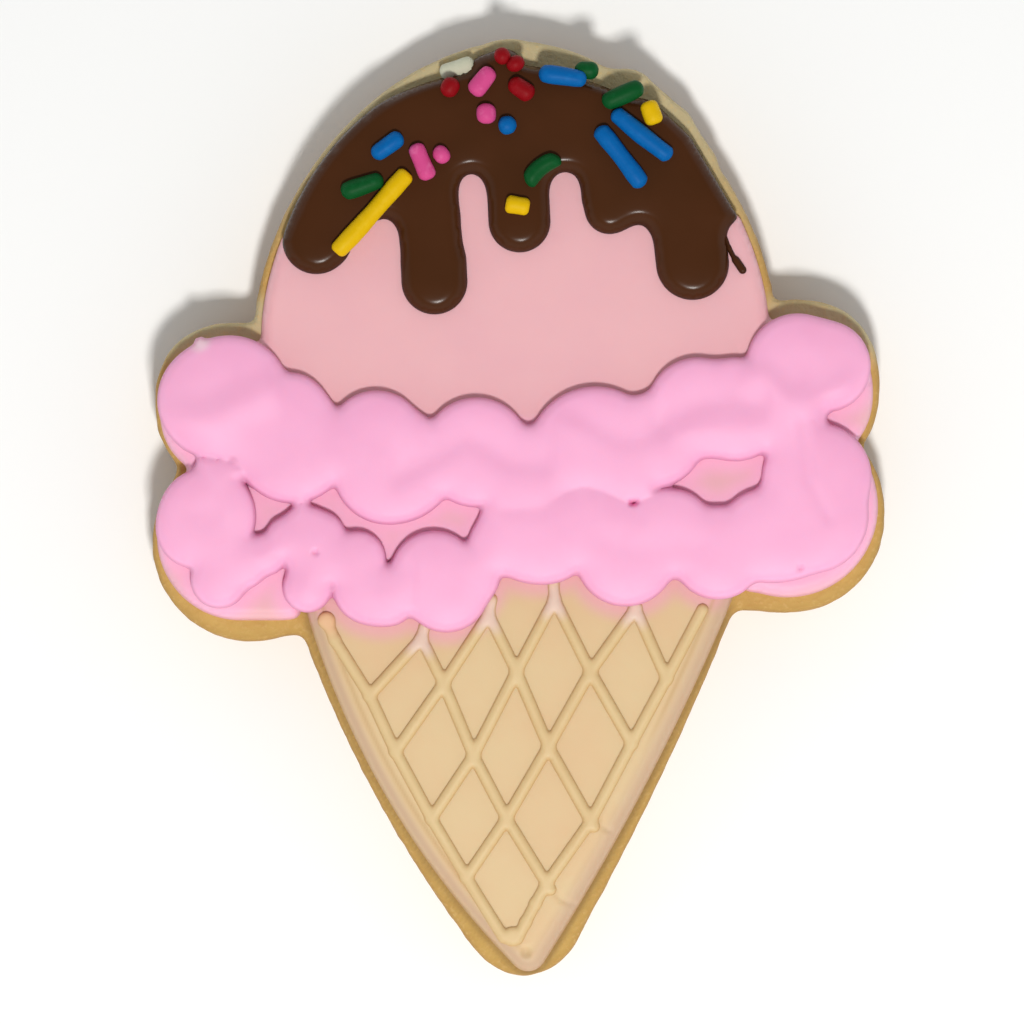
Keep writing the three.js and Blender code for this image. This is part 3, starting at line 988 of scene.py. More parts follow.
@dataclass(kw_only=True)
class Biscuit(Layer):
    """The baked biscuit, in the cutter's shape: a scoop, two lobes a side and a bulging cone."""

    # The tan icing's outline, beside which painted shade darkens the biscuit.
    icing: Field
    role: Role = Role("biscuit", "cookie", "biscuit", BISCUIT_FINISH)
    box: Box = Box(-37.5, 37.5, -47.6, 47.6)
    spacing: float = 0.3
    rolled: float = 0.5
    sharp: float = 60.0
    rings: Line = (
        (0.32, 6.86), (0.18, 6.62), (0.08, 6.2), (0.02, 5.6), (0.0, 4.8), (0.0, 3.9), (0.0, 3.0),
        (0.0, 2.2), (0.02, 1.5), (0.08, 0.9), (0.2, 0.45), (0.42, 0.14), (0.8, 0.0),
    )  # fmt: skip
    # How high the crumb of the top stands, how far in the sides are pushed, and over what width.
    crumb: float = 0.06
    push: float = 0.09
    push_width: float = 1.2
    # How far in from its rim and how far up from its underside the biscuit browned.
    brown_in: float = 1.1
    brown_up: float = 2.0
    # How far from the tan icing's edge the painted shade is darkest, and over what width.
    icing_join_shade_band: Point = (0.1, 0.42)
    notes: tuple[str, ...] = ("browned", "far_rim_shade", "icing_join_shade")

    def scoop(self) -> Field:
        """The scoop alone."""
        return super_ellipse(-0.3, 17.3, 26.3, 29.6, 1.8)

    def shoulder(self) -> Field:
        """The right shoulder, where the dough spread."""
        return join(0.5, bar((10.9, 41.2), (14.9, 37.6), 2.9), bar((14.9, 37.6), (17.0, 34.4), 2.8))

    def outline(self) -> Field:
        """The whole outline.

        Returns:
            Its field.
        """
        cone = common(
            4.2,
            arc_through((-20.9, -14.8), (-14.8, -28.2), (-5.3, -43.2)),
            arc_through((19.8, -14.8), (13.8, -28.2), (6.0, -43.2)),
            behind_line(0, -4, 90),
            behind_line(0, -47.0, -90),
        )
        lobes = (
            super_ellipse(-28.3, 10.5, 8.2, 8.1, 2.3), disc(-26.8, -3.5, 10.0),
            super_ellipse(27.9, 12.2, 8.4, 8.7, 2.3), super_ellipse(26.8, -0.6, 10.0, 10.0, 2.1),
        )  # fmt: skip
        waist = join(0.5, bar((-18, 3), (-10, 3), 16.2), bar((10, 3), (20.4, 3), 13.5))
        crest, tip = disc(-1.2, 44.35, 2.5), disc(0.5, -41.5, 5.5)
        whole = join(1.0, cone, tip, self.scoop(), waist, *lobes, crest, self.shoulder())
        return cut_by(0.8, whole, disc(9.0, 46.1, 1.4))

    def relief(self, x: Array, y: Array) -> Array:
        """A crumbly top that is nowhere higher than the biscuit's."""
        return BISCUIT_TOP - 0.07 + self.crumb * ripple(x, y, size=2.2, seed=4)

    def wear(self, piece: Piece) -> None:
        """Makes the sides a little uneven, and only ever inwards.

        Args:
            piece: The closed piece.
        """
        points, outline = points_of(piece), self.outline()
        x, y, z = points.T
        outwards = np.column_stack(slope_of(outline, x, y))
        rough = 1 + ripple(x + 3 * z, y - 2 * z, size=2.6, seed=9)
        push = self.push * hump(outline(x, y), 0.0, self.push_width) * rough / 2
        points[:, :2] -= push[:, None] * outwards
        place_points(piece, points)

    def browned(self, x: Array, y: Array, z: Array) -> Array:
        """Where it browned: towards the rim and the underside."""
        rim = 1 - np.clip(-self.outline()(x, y) / self.brown_in, 0, 1)
        return np.clip(0.75 * rim + np.clip(1 - z / self.brown_up, 0, 1), 0, 1)

    def far_rim_shade(self, x: Array, y: Array, z: Array) -> Array:
        """Where painted shade greys the far rims of the scoop and the lobes."""
        lobes = share_of(np.abs(x), 23.0, 26.0) * share_of(y, 13.0, 17.0) * share_of(y, 22.5, 19.5)
        return 0.75 * np.maximum(share_of(y, 22.0, 40.0), lobes) * share_of(z, 3.0, 6.0)

    def icing_join_shade(self, x: Array, y: Array, z: Array) -> Array:
        """Where painted shade darkens the biscuit: beside the cone's icing, and more on the right."""
        beside = hump(self.icing(x, y), *self.icing_join_shade_band) * share_of(y, -8.0, -12.0)
        return beside * (0.7 + 0.12 * share_of(x, -2.0, 2.0)) * share_of(z, 6.3, 6.7)


@dataclass(frozen=True)
class Fold:
    """A soft fold that runs from left to right: its line, its height (below zero for a valley), and
    how wide its upper and lower slopes are, as seen from above."""

    line: Line
    height: float
    upper: float = 1.2
    lower: float = 1.6
    fade: float = 1.6

    def rise(self, x: Array, y: Array) -> Array:
        """How much the fold adds to the height.

        Args:
            x: Where, in x.
            y: Where, in y.

        Returns:
            The added height.
        """
        xs, ys = zip(*self.line)
        away = y - np.interp(x, xs, ys)
        width = np.where(away > 0, self.upper, self.lower)
        ends = np.clip((x - xs[0]) / self.fade + 1, 0, 1) * np.clip((xs[-1] - x) / self.fade + 1, 0, 1)
        return self.height * share_of(ends, 0.0, 1.0) * hump(away, 0.0, width)


@dataclass(kw_only=True)
class Ruffle(Layer):
    """The thick pink ruffle, piped in two rows of lumps over the join of scoop and cone."""

    role: Role = Role("pink_ruffle", "ruffle", "pink_icing", RUFFLE_FINISH)
    box: Box = Box(-36.6, 36.6, -13.0, 20.0)
    spacing: float = 0.22
    floor: float = ICING_TOP
    rolled: float = 0.15
    rings: Line = (
        (0.08, ICING_TOP + 1.05), (0.03, ICING_TOP + 0.8), (0.0, ICING_TOP + 0.45), (0.16, ICING_TOP),
    )  # fmt: skip
    fine_creases: bool = True
    wall: float = 0.4
    # The edge rises steeply at first and then gently: over what width, and how much.
    steep: Point = (0.55, 0.92)
    gentle: Point = (3.6, 0.8)
    blend: float = 0.8
    # The lumps that the piping bag left, each x, y and radius: first the row next to the scoop.
    upper: tuple[Triple, ...] = (
        (-30.2, 10.7, 5.9), (-28.8, 11.2, 6.0), (-30.4, 4.0, 1.9),
        (-22.9, 9.3, 4.2), (-22.6, 6.2, 5.8),
        (-14.2, 6.7, 5.0), (-13.1, 3.8, 5.5), (-11.8, 4.2, 5.5),
        (-4.2, 5.5, 5.5), (1.1, 3.2, 5.0), (7.7, 5.2, 6.9), (13.7, 6.8, 4.8),
        (17.9, 9.9, 5.1), (21.6, 9.8, 5.2),
        (27.9, 14.2, 5.2), (30.6, 14.1, 4.6), (26.6, 9.2, 4.2),
    )  # fmt: skip
    # The row next to the cone, which turns back under the first row at both ends.
    lower: tuple[Triple, ...] = (
        (-31.1, -0.9, 4.9), (-32.3, -2.2, 3.9), (-28.2, 3.6, 0.9),
        (-29.9, -7.2, 2.9), (-27.6, -5.5, 2.7), (-25.2, -4.7, 2.1),
        (-23.2, -3.0, 2.1), (-21.4, -1.9, 2.2), (-21.7, 0.35, 0.5), (-21.1, -5.2, 2.2), (-21.1, -8.0, 2.5),
        (-19.9, -3.0, 2.7), (-18.4, -5.2, 2.4), (-16.1, -5.2, 2.9),
        (-15.8, -8.4, 2.7), (-14.7, -8.9, 2.9), (-13.1, -8.9, 3.0),
        (-8.4, -6.8, 4.5), (-7.2, -8.2, 4.3), (-4.8, -6.8, 3.0), (-2.1, -3.8, 3.0),
        (1.1, -2.2, 5.2), (2.6, -2.5, 5.2), (10.7, -4.8, 5.1), (15.2, -2.6, 4.5),
        (19.9, -4.5, 4.7), (24.6, -2.8, 4.7), (26.6, -2.8, 4.6),
        (29.8, 3.0, 5.5), (29.2, -0.8, 5.8),
    )  # fmt: skip
    folds: tuple[Fold, ...] = (
        Fold(((-34.9, 8.8), (-30.8, 8.8), (-27.8, 10.4), (-24.5, 11.9)), 0.4, 1.7, 2.4),
        Fold(
            ((-12.0, 3.2), (-8.8, 4.9), (-6.8, 5.9), (-5.3, 7.0), (-3.3, 6.2), (-1.0, 4.6), (2.6, 4.4)),
            -0.26, 2.8, 1.15,
        ),
        Fold(((4.4, 10.1), (6.2, 9.2), (8.2, 8.0), (10.2, 7.0), (12.2, 7.0), (14.2, 8.2)), -0.25, 2.8, 1.15),
        Fold(((14.2, 8.2), (16.2, 9.4), (18.2, 10.3), (21.2, 10.8), (24.2, 10.4)), -0.25, 2.6, 1.15),
        Fold(((17.0, 7.6), (20.0, 8.0), (23.8, 7.8)), 0.12, 1.2, 1.2),
        Fold(((23.2, 14.0), (24.8, 12.6), (27.2, 10.4), (29.8, 10.3), (33.2, 12.0)), 0.4, 1.5, 2.6),
        Fold(((8.2, -3.3), (12.2, -4.2), (18.2, -3.9)), -0.08, 1.4, 1.2),
        Fold(((-33.0, -0.6), (-30.6, -0.6)), -0.12, 1.6),
    )  # fmt: skip
    # Narrow grooves: their line, depth and width.
    grooves: tuple[tuple[Line, float, float], ...] = (
        (((28.4, 8.2), (29.0, 2.8), (31.0, -1.1)), 0.16, 0.5),
        (((-10.8, -5.8), (-10.6, -7.4), (-10.7, -9.2)), 0.17, 0.4),
    )
    # Creases where two runs of icing touch. The last number is small where the crease is deep.
    creases: tuple[tuple[Triple, ...], ...] = (
        (
            (-33.8, 5.6, 0.0), (-32.4, 5.1, 0.1), (-30.4, 4.9, 0.2), (-28.4, 4.5, 0.3), (-27.1, 3.5, 0.3),
            (-26.4, 1.9, 0.1),
        ),
        ((-22.6, 0.3, 0.2), (-20.8, 0.5, 0.2)),
        (
            (-4.0, -0.1, 1.2), (-0.9, -0.3, 1.4), (2.6, -0.1, 1.2), (4.6, 1.5, 0.8), (6.6, 2.0, 0.7),
            (8.6, 1.5, 0.6), (10.6, 0.6, 0.45), (11.6, 0.4, 0.3), (13.1, 1.0, 0.4), (15.3, 1.8, 0.2),
        ),
        ((11.6, 0.2, 0.4), (11.2, -1.8, 1.7)),
        ((-13.0, -5.5, 0.3), (-13.4, -7.0, 1.6)),
        ((-26.6, -2.8, 0.3), (-27.6, -4.2, 1.7)),
        ((30.6, 8.9, 0.3), (28.5, 8.7, 1.6)),
    )  # fmt: skip
    # Pits from air bubbles: x, y, depth and radius.
    pits: tuple[tuple[float, float, float, float], ...] = (
        (11.3, 0.45, 1.1, 0.3), (11.7, 0.5, 0.9, 0.3), (-20.25, -4.5, 0.35, 0.3), (28.2, -6.1, 0.35, 0.3),
    )  # fmt: skip

    # The pale tip where the piping bag was pulled away.
    tip: tuple[Point, Point] = ((-30.8, 15.2), (-31.9, 16.7))
    tip_radius: float = 0.35
    notes: tuple[str, ...] = ("depth", "pale_tip")

    def outline(self) -> Field:
        """The ruffle's outline, with its three holes."""
        lumps = (disc(*lump) for lump in (*self.upper, *self.lower))
        return join(self.blend, *lumps, bar(*self.tip, self.tip_radius))

    def raise_up(self, piece: Piece) -> None:
        """Raises the grid to the ruffle's soft relief.

        Args:
            piece: The grid.
        """
        depth = depth_inside(piece, inset(self.outline(), self.rolled)) + self.rolled
        x, y = seen_from_above(piece)
        for line in self.creases:
            depth = np.minimum(depth, crease(line)(x, y))
        rise = sum(height * dome(depth, width, 2.0) for width, height in (self.steep, self.gentle))
        inner = np.clip(depth / 2.2, 0, 1)
        rise += inner * sum(fold.rise(x, y) for fold in self.folds)
        for line, sunk, width in self.grooves:
            rise -= sunk * hump(nearest([line])(x, y), 0.0, width)
        set_heights(piece, self.floor + self.wall + np.maximum(rise, 0))
        for past, repeat in ((1.0, 10), (0.3, 2)):
            ease_heights(piece, depth > past, repeat)
        z = points_of(piece)[:, 2]
        for px, py, sunk, radius in self.pits:
            z -= sunk * hump(disc(px, py, 0.0)(x, y), 0.0, radius, 4)
        set_heights(piece, z)

    def pale_tip(self, x: Array, y: Array, z: Array) -> Array:
        """Where the tip is pale."""
        return share_of(disc(*self.tip[1], 0.0)(x, y), 1.6, 0.6)


@dataclass
class PouredEdge:
    """How far out the dark icing was poured on the scoop."""

    def outline(self) -> Field:
        """The outer edge of the dark icing, without its runs.

        Returns:
            Its field.
        """
        oval = common(
            2.0,
            super_ellipse(-0.4, 17.3, 24.85, 27.55, 2),
            behind_line(-8.1, 43.45, 103),
            behind_line(6.5, 43.2, 72),
        )
        shoulder = bar((12.0, 38.0), (14.9, 35.2), 2.95)
        crest = bar((-3.0, 43.2), (-1.5, 43.75), 2.15)
        return common(0.15, join(0.5, oval, shoulder, crest), behind_line(19.7, 32.9, 30.5))


@dataclass(kw_only=True)
class ConeFlood(Layer):
    """The tan icing that floods the cone, with the bead that was piped round it first."""

    ruffle: Ruffle
    role: Role = Role("tan_flood", "cone_icing", "tan_icing", CONE_FINISH)
    box: Box = Box(-22.6, 22.6, -47.0, -6.0)
    spacing: float = 0.22
    rings: Line = ((0.08, BISCUIT_TOP - 0.08),)
    floor: float = BISCUIT_TOP
    height: float = ICING_TOP - BISCUIT_TOP
    # How high the wall at its edge stands, and over what width it curves up from there.
    wall: float = 0.4
    edge_width: float = 1.5
    # The groove inside the bead that was piped round the cone first: how far in, how deep, how wide.
    groove: Triple = (1.75, 0.12, 0.3)
    # The marks that the piping tip left beside the net: their line, how deep and how wide.
    marks: tuple[tuple[Line, float, float], ...] = (
        (((7.9, -31.0), (8.2, -31.8), (9.2, -32.4)), 0.16, 0.22),
        (((3.4, -38.3), (4.2, -39.2), (5.6, -39.8)), 0.16, 0.22),
    )
    # The bubble that burst near the tip: x, y, radius and depth.
    bubble: tuple[float, float, float, float] = (0.75, -44.5, 0.5, 0.3)
    notes: tuple[str, ...] = ("depth", "bled", "greyed", "groove_shade")

    def sides(self) -> Field:
        """The two sides that show, which meet at the tip."""
        left = arc_through((-21.2, -10.6), (-13.1, -29.2), (-2.9, -43.2))
        return common(2.4, left, arc_through((21.4, -9.2), (12.0, -29.2), (3.4, -44.2)))

    def outline(self) -> Field:
        """The flooded part of the cone, which ends straight under the ruffle."""
        return common(2.4, self.sides(), behind_line(0, -6.6, 90))

    def relief(self, x: Array, y: Array) -> Array:
        """The flooded body with its bead and the marks in it.

        Args:
            x: Where, in x.
            y: Where, in y.

        Returns:
            The heights.
        """
        depth = -self.sides()(x, y)
        body = dome(depth, self.edge_width, 2.0) * (self.height - self.wall - 0.05)
        away, deep, wide = self.groove
        sunk = deep * hump(depth, away, wide) * np.clip(0.5 - x / 4, 0.25, 1)
        for line, deep, wide in self.marks:
            sunk += deep * hump(nearest([line])(x, y), 0.0, wide)
        bx, by, radius, deep = self.bubble
        sunk += deep * hump(disc(bx, by, 0.0)(x, y), 0.0, radius, 4)
        return self.floor + self.wall + body - sunk + 0.015 * ripple(x, y, size=8.0, seed=31)

    def depth(self, x: Array, y: Array, z: Array) -> Array:
        """How far in from the two sides, because the upper end lies under the ruffle."""
        return -self.sides()(x, y)

    def bled(self, x: Array, y: Array, z: Array) -> Array:
        """Where the ruffle's dye bled in."""
        return share_of(self.ruffle.outline()(x, y), 2.1, 0.2)

    def greyed(self, x: Array, y: Array, z: Array) -> Array:
        """Where it is greyer: in a stripe on the left, in a soft band on the right."""
        depth, right = self.depth(x, y, z), share_of(x, -2.0, 2.0)
        return 0.8 * ((1 - right) * hump(depth, 0.65, 0.55) + right * share_of(depth, 2.2, 0.3))

    def groove_shade(self, x: Array, y: Array, z: Array) -> Array:
        """Where painted shade darkens the groove: not low on the right."""
        shown = 1 - share_of(x, -2.0, 2.0) * share_of(y, -18.0, -26.0)
        return 0.55 * shown * hump(self.depth(x, y, z), self.groove[0], 0.22)


@dataclass(kw_only=True)
class ScoopFlood(Layer):
    """The pale pink icing that floods the scoop and the lobes."""

    biscuit: Biscuit
    edge: PouredEdge
    cone: ConeFlood
    role: Role = Role("pale_pink_flood", "base_icing", "pale_pink_icing", SCOOP_FINISH)
    box: Box = Box(-36.8, 36.8, -12.0, 46.6)
    spacing: float = 0.34
    rings: Line = ((0.06, BISCUIT_TOP - 0.08),)
    notes: tuple[str, ...] = ("depth", "bled")
    floor: float = BISCUIT_TOP
    height: float = ICING_TOP - BISCUIT_TOP
    wall: float = 0.4
    edge_width: float = 1.2

    def outline(self) -> Field:
        """The flooded part.

        Returns:
            Its field.
        """
        inner = inset(join(0.5, self.biscuit.scoop(), self.biscuit.shoulder()), 0.85)
        # Above the slanting line it ends under the dark icing.
        scoop = join(0.4, common(0.5, inner, behind_line(0, 28.4, 92.6)), inset(self.edge.outline(), 0.3))
        whole = join(
            1.0,
            scoop,
            bar((-20, 3), (20, 3), 11.6),
            super_ellipse(-28.2, 9.7, 7.7, 7.0, 2.2),
            bar((-27.8, -2.9), (-24, -2.9), 8.4),
            super_ellipse(27.7, 11.5, 7.8, 7.4, 2.2),
            disc(26.9, 0.1, 9.1),
        )
        return cut_by(1.2, whole, inset(self.cone.outline(), -0.3))

    def ground(self, x: Array, y: Array) -> Array:
        """The height of what another icing runs over, here and on the biscuit, without a step."""
        depth = 0.75 - self.outline()(x, y)
        return self.floor + self.height * dome(depth, 1.25 * self.edge_width, 2.0)

    def relief(self, x: Array, y: Array) -> Array:
        """An even body with a rounded edge."""
        body = dome(-self.outline()(x, y), self.edge_width, 2.2) * (self.height - self.wall - 0.02)
        return self.floor + self.wall + body + 0.012 * ripple(x, y, size=9.0, seed=41)

    def bled(self, x: Array, y: Array, z: Array) -> Array:
        """Where the ruffle's dye bled in: on the lobes and in the gaps, and not on the scoop."""
        scoop = np.clip((y - 8.0) / 3.0, 0, 1) * (np.abs(x) < 26)
        return share_of(self.cone.ruffle.outline()(x, y) + 4 * scoop, 2.4, 0.2)


@dataclass(kw_only=True)
class DarkIcing(Layer):
    """Dark icing, poured on the scoop, that follows what it lies on."""

    flood: ScoopFlood
    rings: Line = ((0.05, BISCUIT_TOP - 0.02),)
    # How thick it gets, how thick it is at its edge, and over what width it swells.
    height: float
    wall: float = 0.12
    swell_width: float
    # The shares of the swelling that are near the edge, far from it, and its steep start.
    swell: Triple = (0.55, 0.2, 0.25)

    def raise_up(self, piece: Piece) -> None:
        """Raises the grid to poured icing.

        Args:
            piece: The grid.
        """
        depth = depth_inside(piece, self.outline())
        x, y = seen_from_above(piece)
        width = self.swell_width
        rises = [np.sin(np.clip(depth / reach, 0, 1) * math.pi / 2) for reach in (width, 2.5 * width)]
        rises.append(dome(depth, width / 3, 2.0))
        swell = sum(share * rise for share, rise in zip(self.swell, rises))
        top = self.flood.ground(x, y) + self.wall + (self.height - self.wall) * swell
        uneven = 0.012 * share_of(depth, 0.5, 1.5) * (ripple(x, y, size=7.0, seed=21) - 1)
        set_heights(piece, top + uneven)
        ease_heights(piece, depth > 0.3, 4)


@dataclass(kw_only=True)
class DarkDrip(DarkIcing):
    """The dark icing over the scoop, with its runs."""

    edge: PouredEdge
    role: Role = Role("dark_drip", "chocolate_drip", "dark_icing", DARK_FINISH)
    box: Box = Box(-24.4, 23.7, 18.8, 46.8)
    spacing: float = 0.22
    height: float = DARK_TOP - ICING_TOP
    swell_width: float = 1.3
    blend: float = 2.6
    # The cap above the runs, and the two blocks beside it: the lines that bound them.
    cap: Point = (0, 33.7)
    left: tuple[Point, Point] = ((-12.0, 28), (0, 30.0))
    right: tuple[Point, Point] = ((8.5, 28), (0, 28.9))
    # Below this the outer edge steps in to the last run.
    step: Point = (17.5, 29.6)
    # Each run, from bars of its two ends and its radius.
    runs: tuple[tuple[tuple[Point, Point, float], ...], ...] = (
        (((-15.3, 32.1), (-19.6, 27.3), 2.9), ((-20.0, 26.9), (-20.2, 26.75), 3.42)),
        (
            ((-9.2, 33.0), (-9.0, 29.0), 3.12), ((-9.0, 29.0), (-8.7, 26.2), 3.15),
            ((-8.5, 24.6), (-8.4, 22.6), 3.3),
        ),
        (((-0.1, 33.0), (0.1, 28.6), 3.1),),
        (((9.0, 33.0), (9.0, 31.0), 2.6), ((9.5, 31.3), (9.0, 29.75), 2.3)),
        (((17.0, 28.0), (17.4, 24.4), 3.65),),
    )  # fmt: skip

    def outline(self) -> Field:
        """The poured edge, the cap inside it and the runs.

        Returns:
            Its field.
        """
        edge = self.edge.outline()
        cap = behind_line(*self.cap, -90)
        left = common(1.0, edge, behind_line(*self.left[0], 0), behind_line(*self.left[1], -90))
        right = common(1.0, edge, behind_line(*self.right[0], 180), behind_line(*self.right[1], -90))
        runs = (join(0.3, *(bar(*part) for part in run)) for run in self.runs)
        step = common(0.2, behind_line(self.step[0], 0, 180), behind_line(0, self.step[1], -90))
        return common(0.25, edge, join(1.0, join(self.blend, cap, right, left, *runs), step))


@dataclass(kw_only=True)
class DarkThread(DarkIcing):
    """The thin thread that the last run left, thicker at its end."""

    role: Role = Role("dark_thread", "chocolate_drip", "dark_icing", DARK_FINISH)
    box: Box = Box(19.8, 23.4, 22.9, 28.4)
    spacing: float = 0.09
    height: float = 0.4
    swell_width: float = 0.35
    bars: tuple[tuple[Point, Point, float], ...] = (
        ((20.6, 27.2), (21.05, 25.9), 0.22), ((21.05, 25.9), (21.6, 24.85), 0.25),
        ((21.75, 24.7), (22.4, 23.75), 0.4),
    )  # fmt: skip

    def outline(self) -> Field:
        """The thread's outline."""
        return join(0.2, *(bar(*part) for part in self.bars))


@dataclass(kw_only=True)
class WaffleNet(Layer):
    """The net of piped lines on the cone."""

    ruffle: Ruffle
    role: Role = Role("waffle_net", "waffle_lattice", "tan_piping", NET_FINISH)
    box: Box = Box(-21.0, 20.5, -46.0, -6.5)
    spacing: float = 0.2
    rings: Line = ((0.0, ICING_TOP - 0.2),)
    floor: float = ICING_TOP
    # How wide a piped line is, how high it stands, and its two domes: over what width, and how much.
    bead: float = 1.22
    height: float = 0.3
    domes: tuple[Point, Point] = ((0.4, 0.6), (0.75, 0.4))
    notes: tuple[str, ...] = ("depth", "bled", "free_end")
    # Where the lines cross, row by row down the cone.
    crossings: dict[str, Point] = field(
        default_factory=lambda: {
            "a0": (-14.9, -18.8), "a1": (-7.5, -17.6), "a2": (-0.2, -16.4), "a3": (7.2, -16.4),
            "a4": (14.8, -17.1), "b0": (-12.3, -24.4), "b1": (-4.5, -24.8), "b2": (3.0, -23.9),
            "b3": (11.3, -23.6), "c0": (-8.7, -31.1), "c1": (-1.2, -31.1), "c2": (7.2, -31.4),
            "d0": (-5.2, -37.0), "d1": (2.8, -37.6), "e0": (-1.5, -43.0),
            "p": (-19.2, -11.2), "q": (-18.4, -13.2), "r": (-9.7, -13.1), "s": (-3.0, -10.7),
            "t": (3.6, -9.2), "u": (11.7, -10.1), "v": (18.4, -10.2), "w": (7.55, -31.9),
            "x": (3.2, -38.2), "y1": (1.7, -39.6), "y2": (0.7, -41.5), "y3": (-0.1, -43.1),
            "r1": (-9.4, -11.9), "s1": (-2.7, -9.2), "t1": (3.5, -7.4), "u1": (11.6, -9.0),
        }
    )  # fmt: skip
    lines: tuple[str, ...] = (
        "p q a0 b0 c0 d0 e0",
        "r1 r a1 b1 c1 d1 x",
        "s1 s a2 b2 c2 w",
        "t1 t a3 b3",
        "u1 u a4",
        "a0 r",
        "b0 a1 s",
        "c0 b1 a2 t",
        "d0 c1 b2 a3 u",
        "y3 y2 y1 d1 c2 b3 a4 v",
    )
    blobs: tuple[Triple, ...] = ((-0.6, -42.9, 1.0), (-19.2, -11.3, 0.9))
    # The crossings beside the ruffle that stayed whitish.
    whitish: str = "r s t u"

    def outline(self) -> Field:
        """The net's outline. It runs on a little way under the ruffle.

        Returns:
            Its field.
        """
        bars = []
        for line in self.lines:
            places = [self.crossings[name] for name in line.split()]
            bars += [bar(a, b, self.bead / 2) for a, b in zip(places, places[1:])]
        whole = join(0.3, *bars, *(disc(*blob) for blob in self.blobs))
        return cut_by(0.5, whole, inset(self.ruffle.outline(), 0.9))

    def relief(self, x: Array, y: Array) -> Array:
        """Round beads that are a little uneven."""
        body = sum(share * dome(-self.outline()(x, y), width, 2.0) for width, share in self.domes)
        return self.floor + 0.02 + body * self.height * (1 + 0.08 * ripple(x, y, size=4.0, seed=51))

    def bled(self, x: Array, y: Array, z: Array) -> Array:
        """Where the lines are whitish: at the crossings beside the ruffle."""
        away = [disc(*self.crossings[name], 0.0)(x, y) for name in self.whitish.split()]
        return 0.85 * share_of(np.minimum.reduce(away), 2.8, 0.8)

    def free_end(self, x: Array, y: Array, z: Array) -> Array:
        """Where the first line starts, which is more orange."""
        return share_of(disc(*self.crossings["p"], 0.0)(x, y), 2.4, 0.8)


@dataclass(frozen=True)
class Strand:
    """One sugar strand: its middle, length, the way it points, how deep it is sunk and its bow."""

    at: Point
    length: float
    degrees: float
    sunk: float = 0.59
    bow: float = 0.0


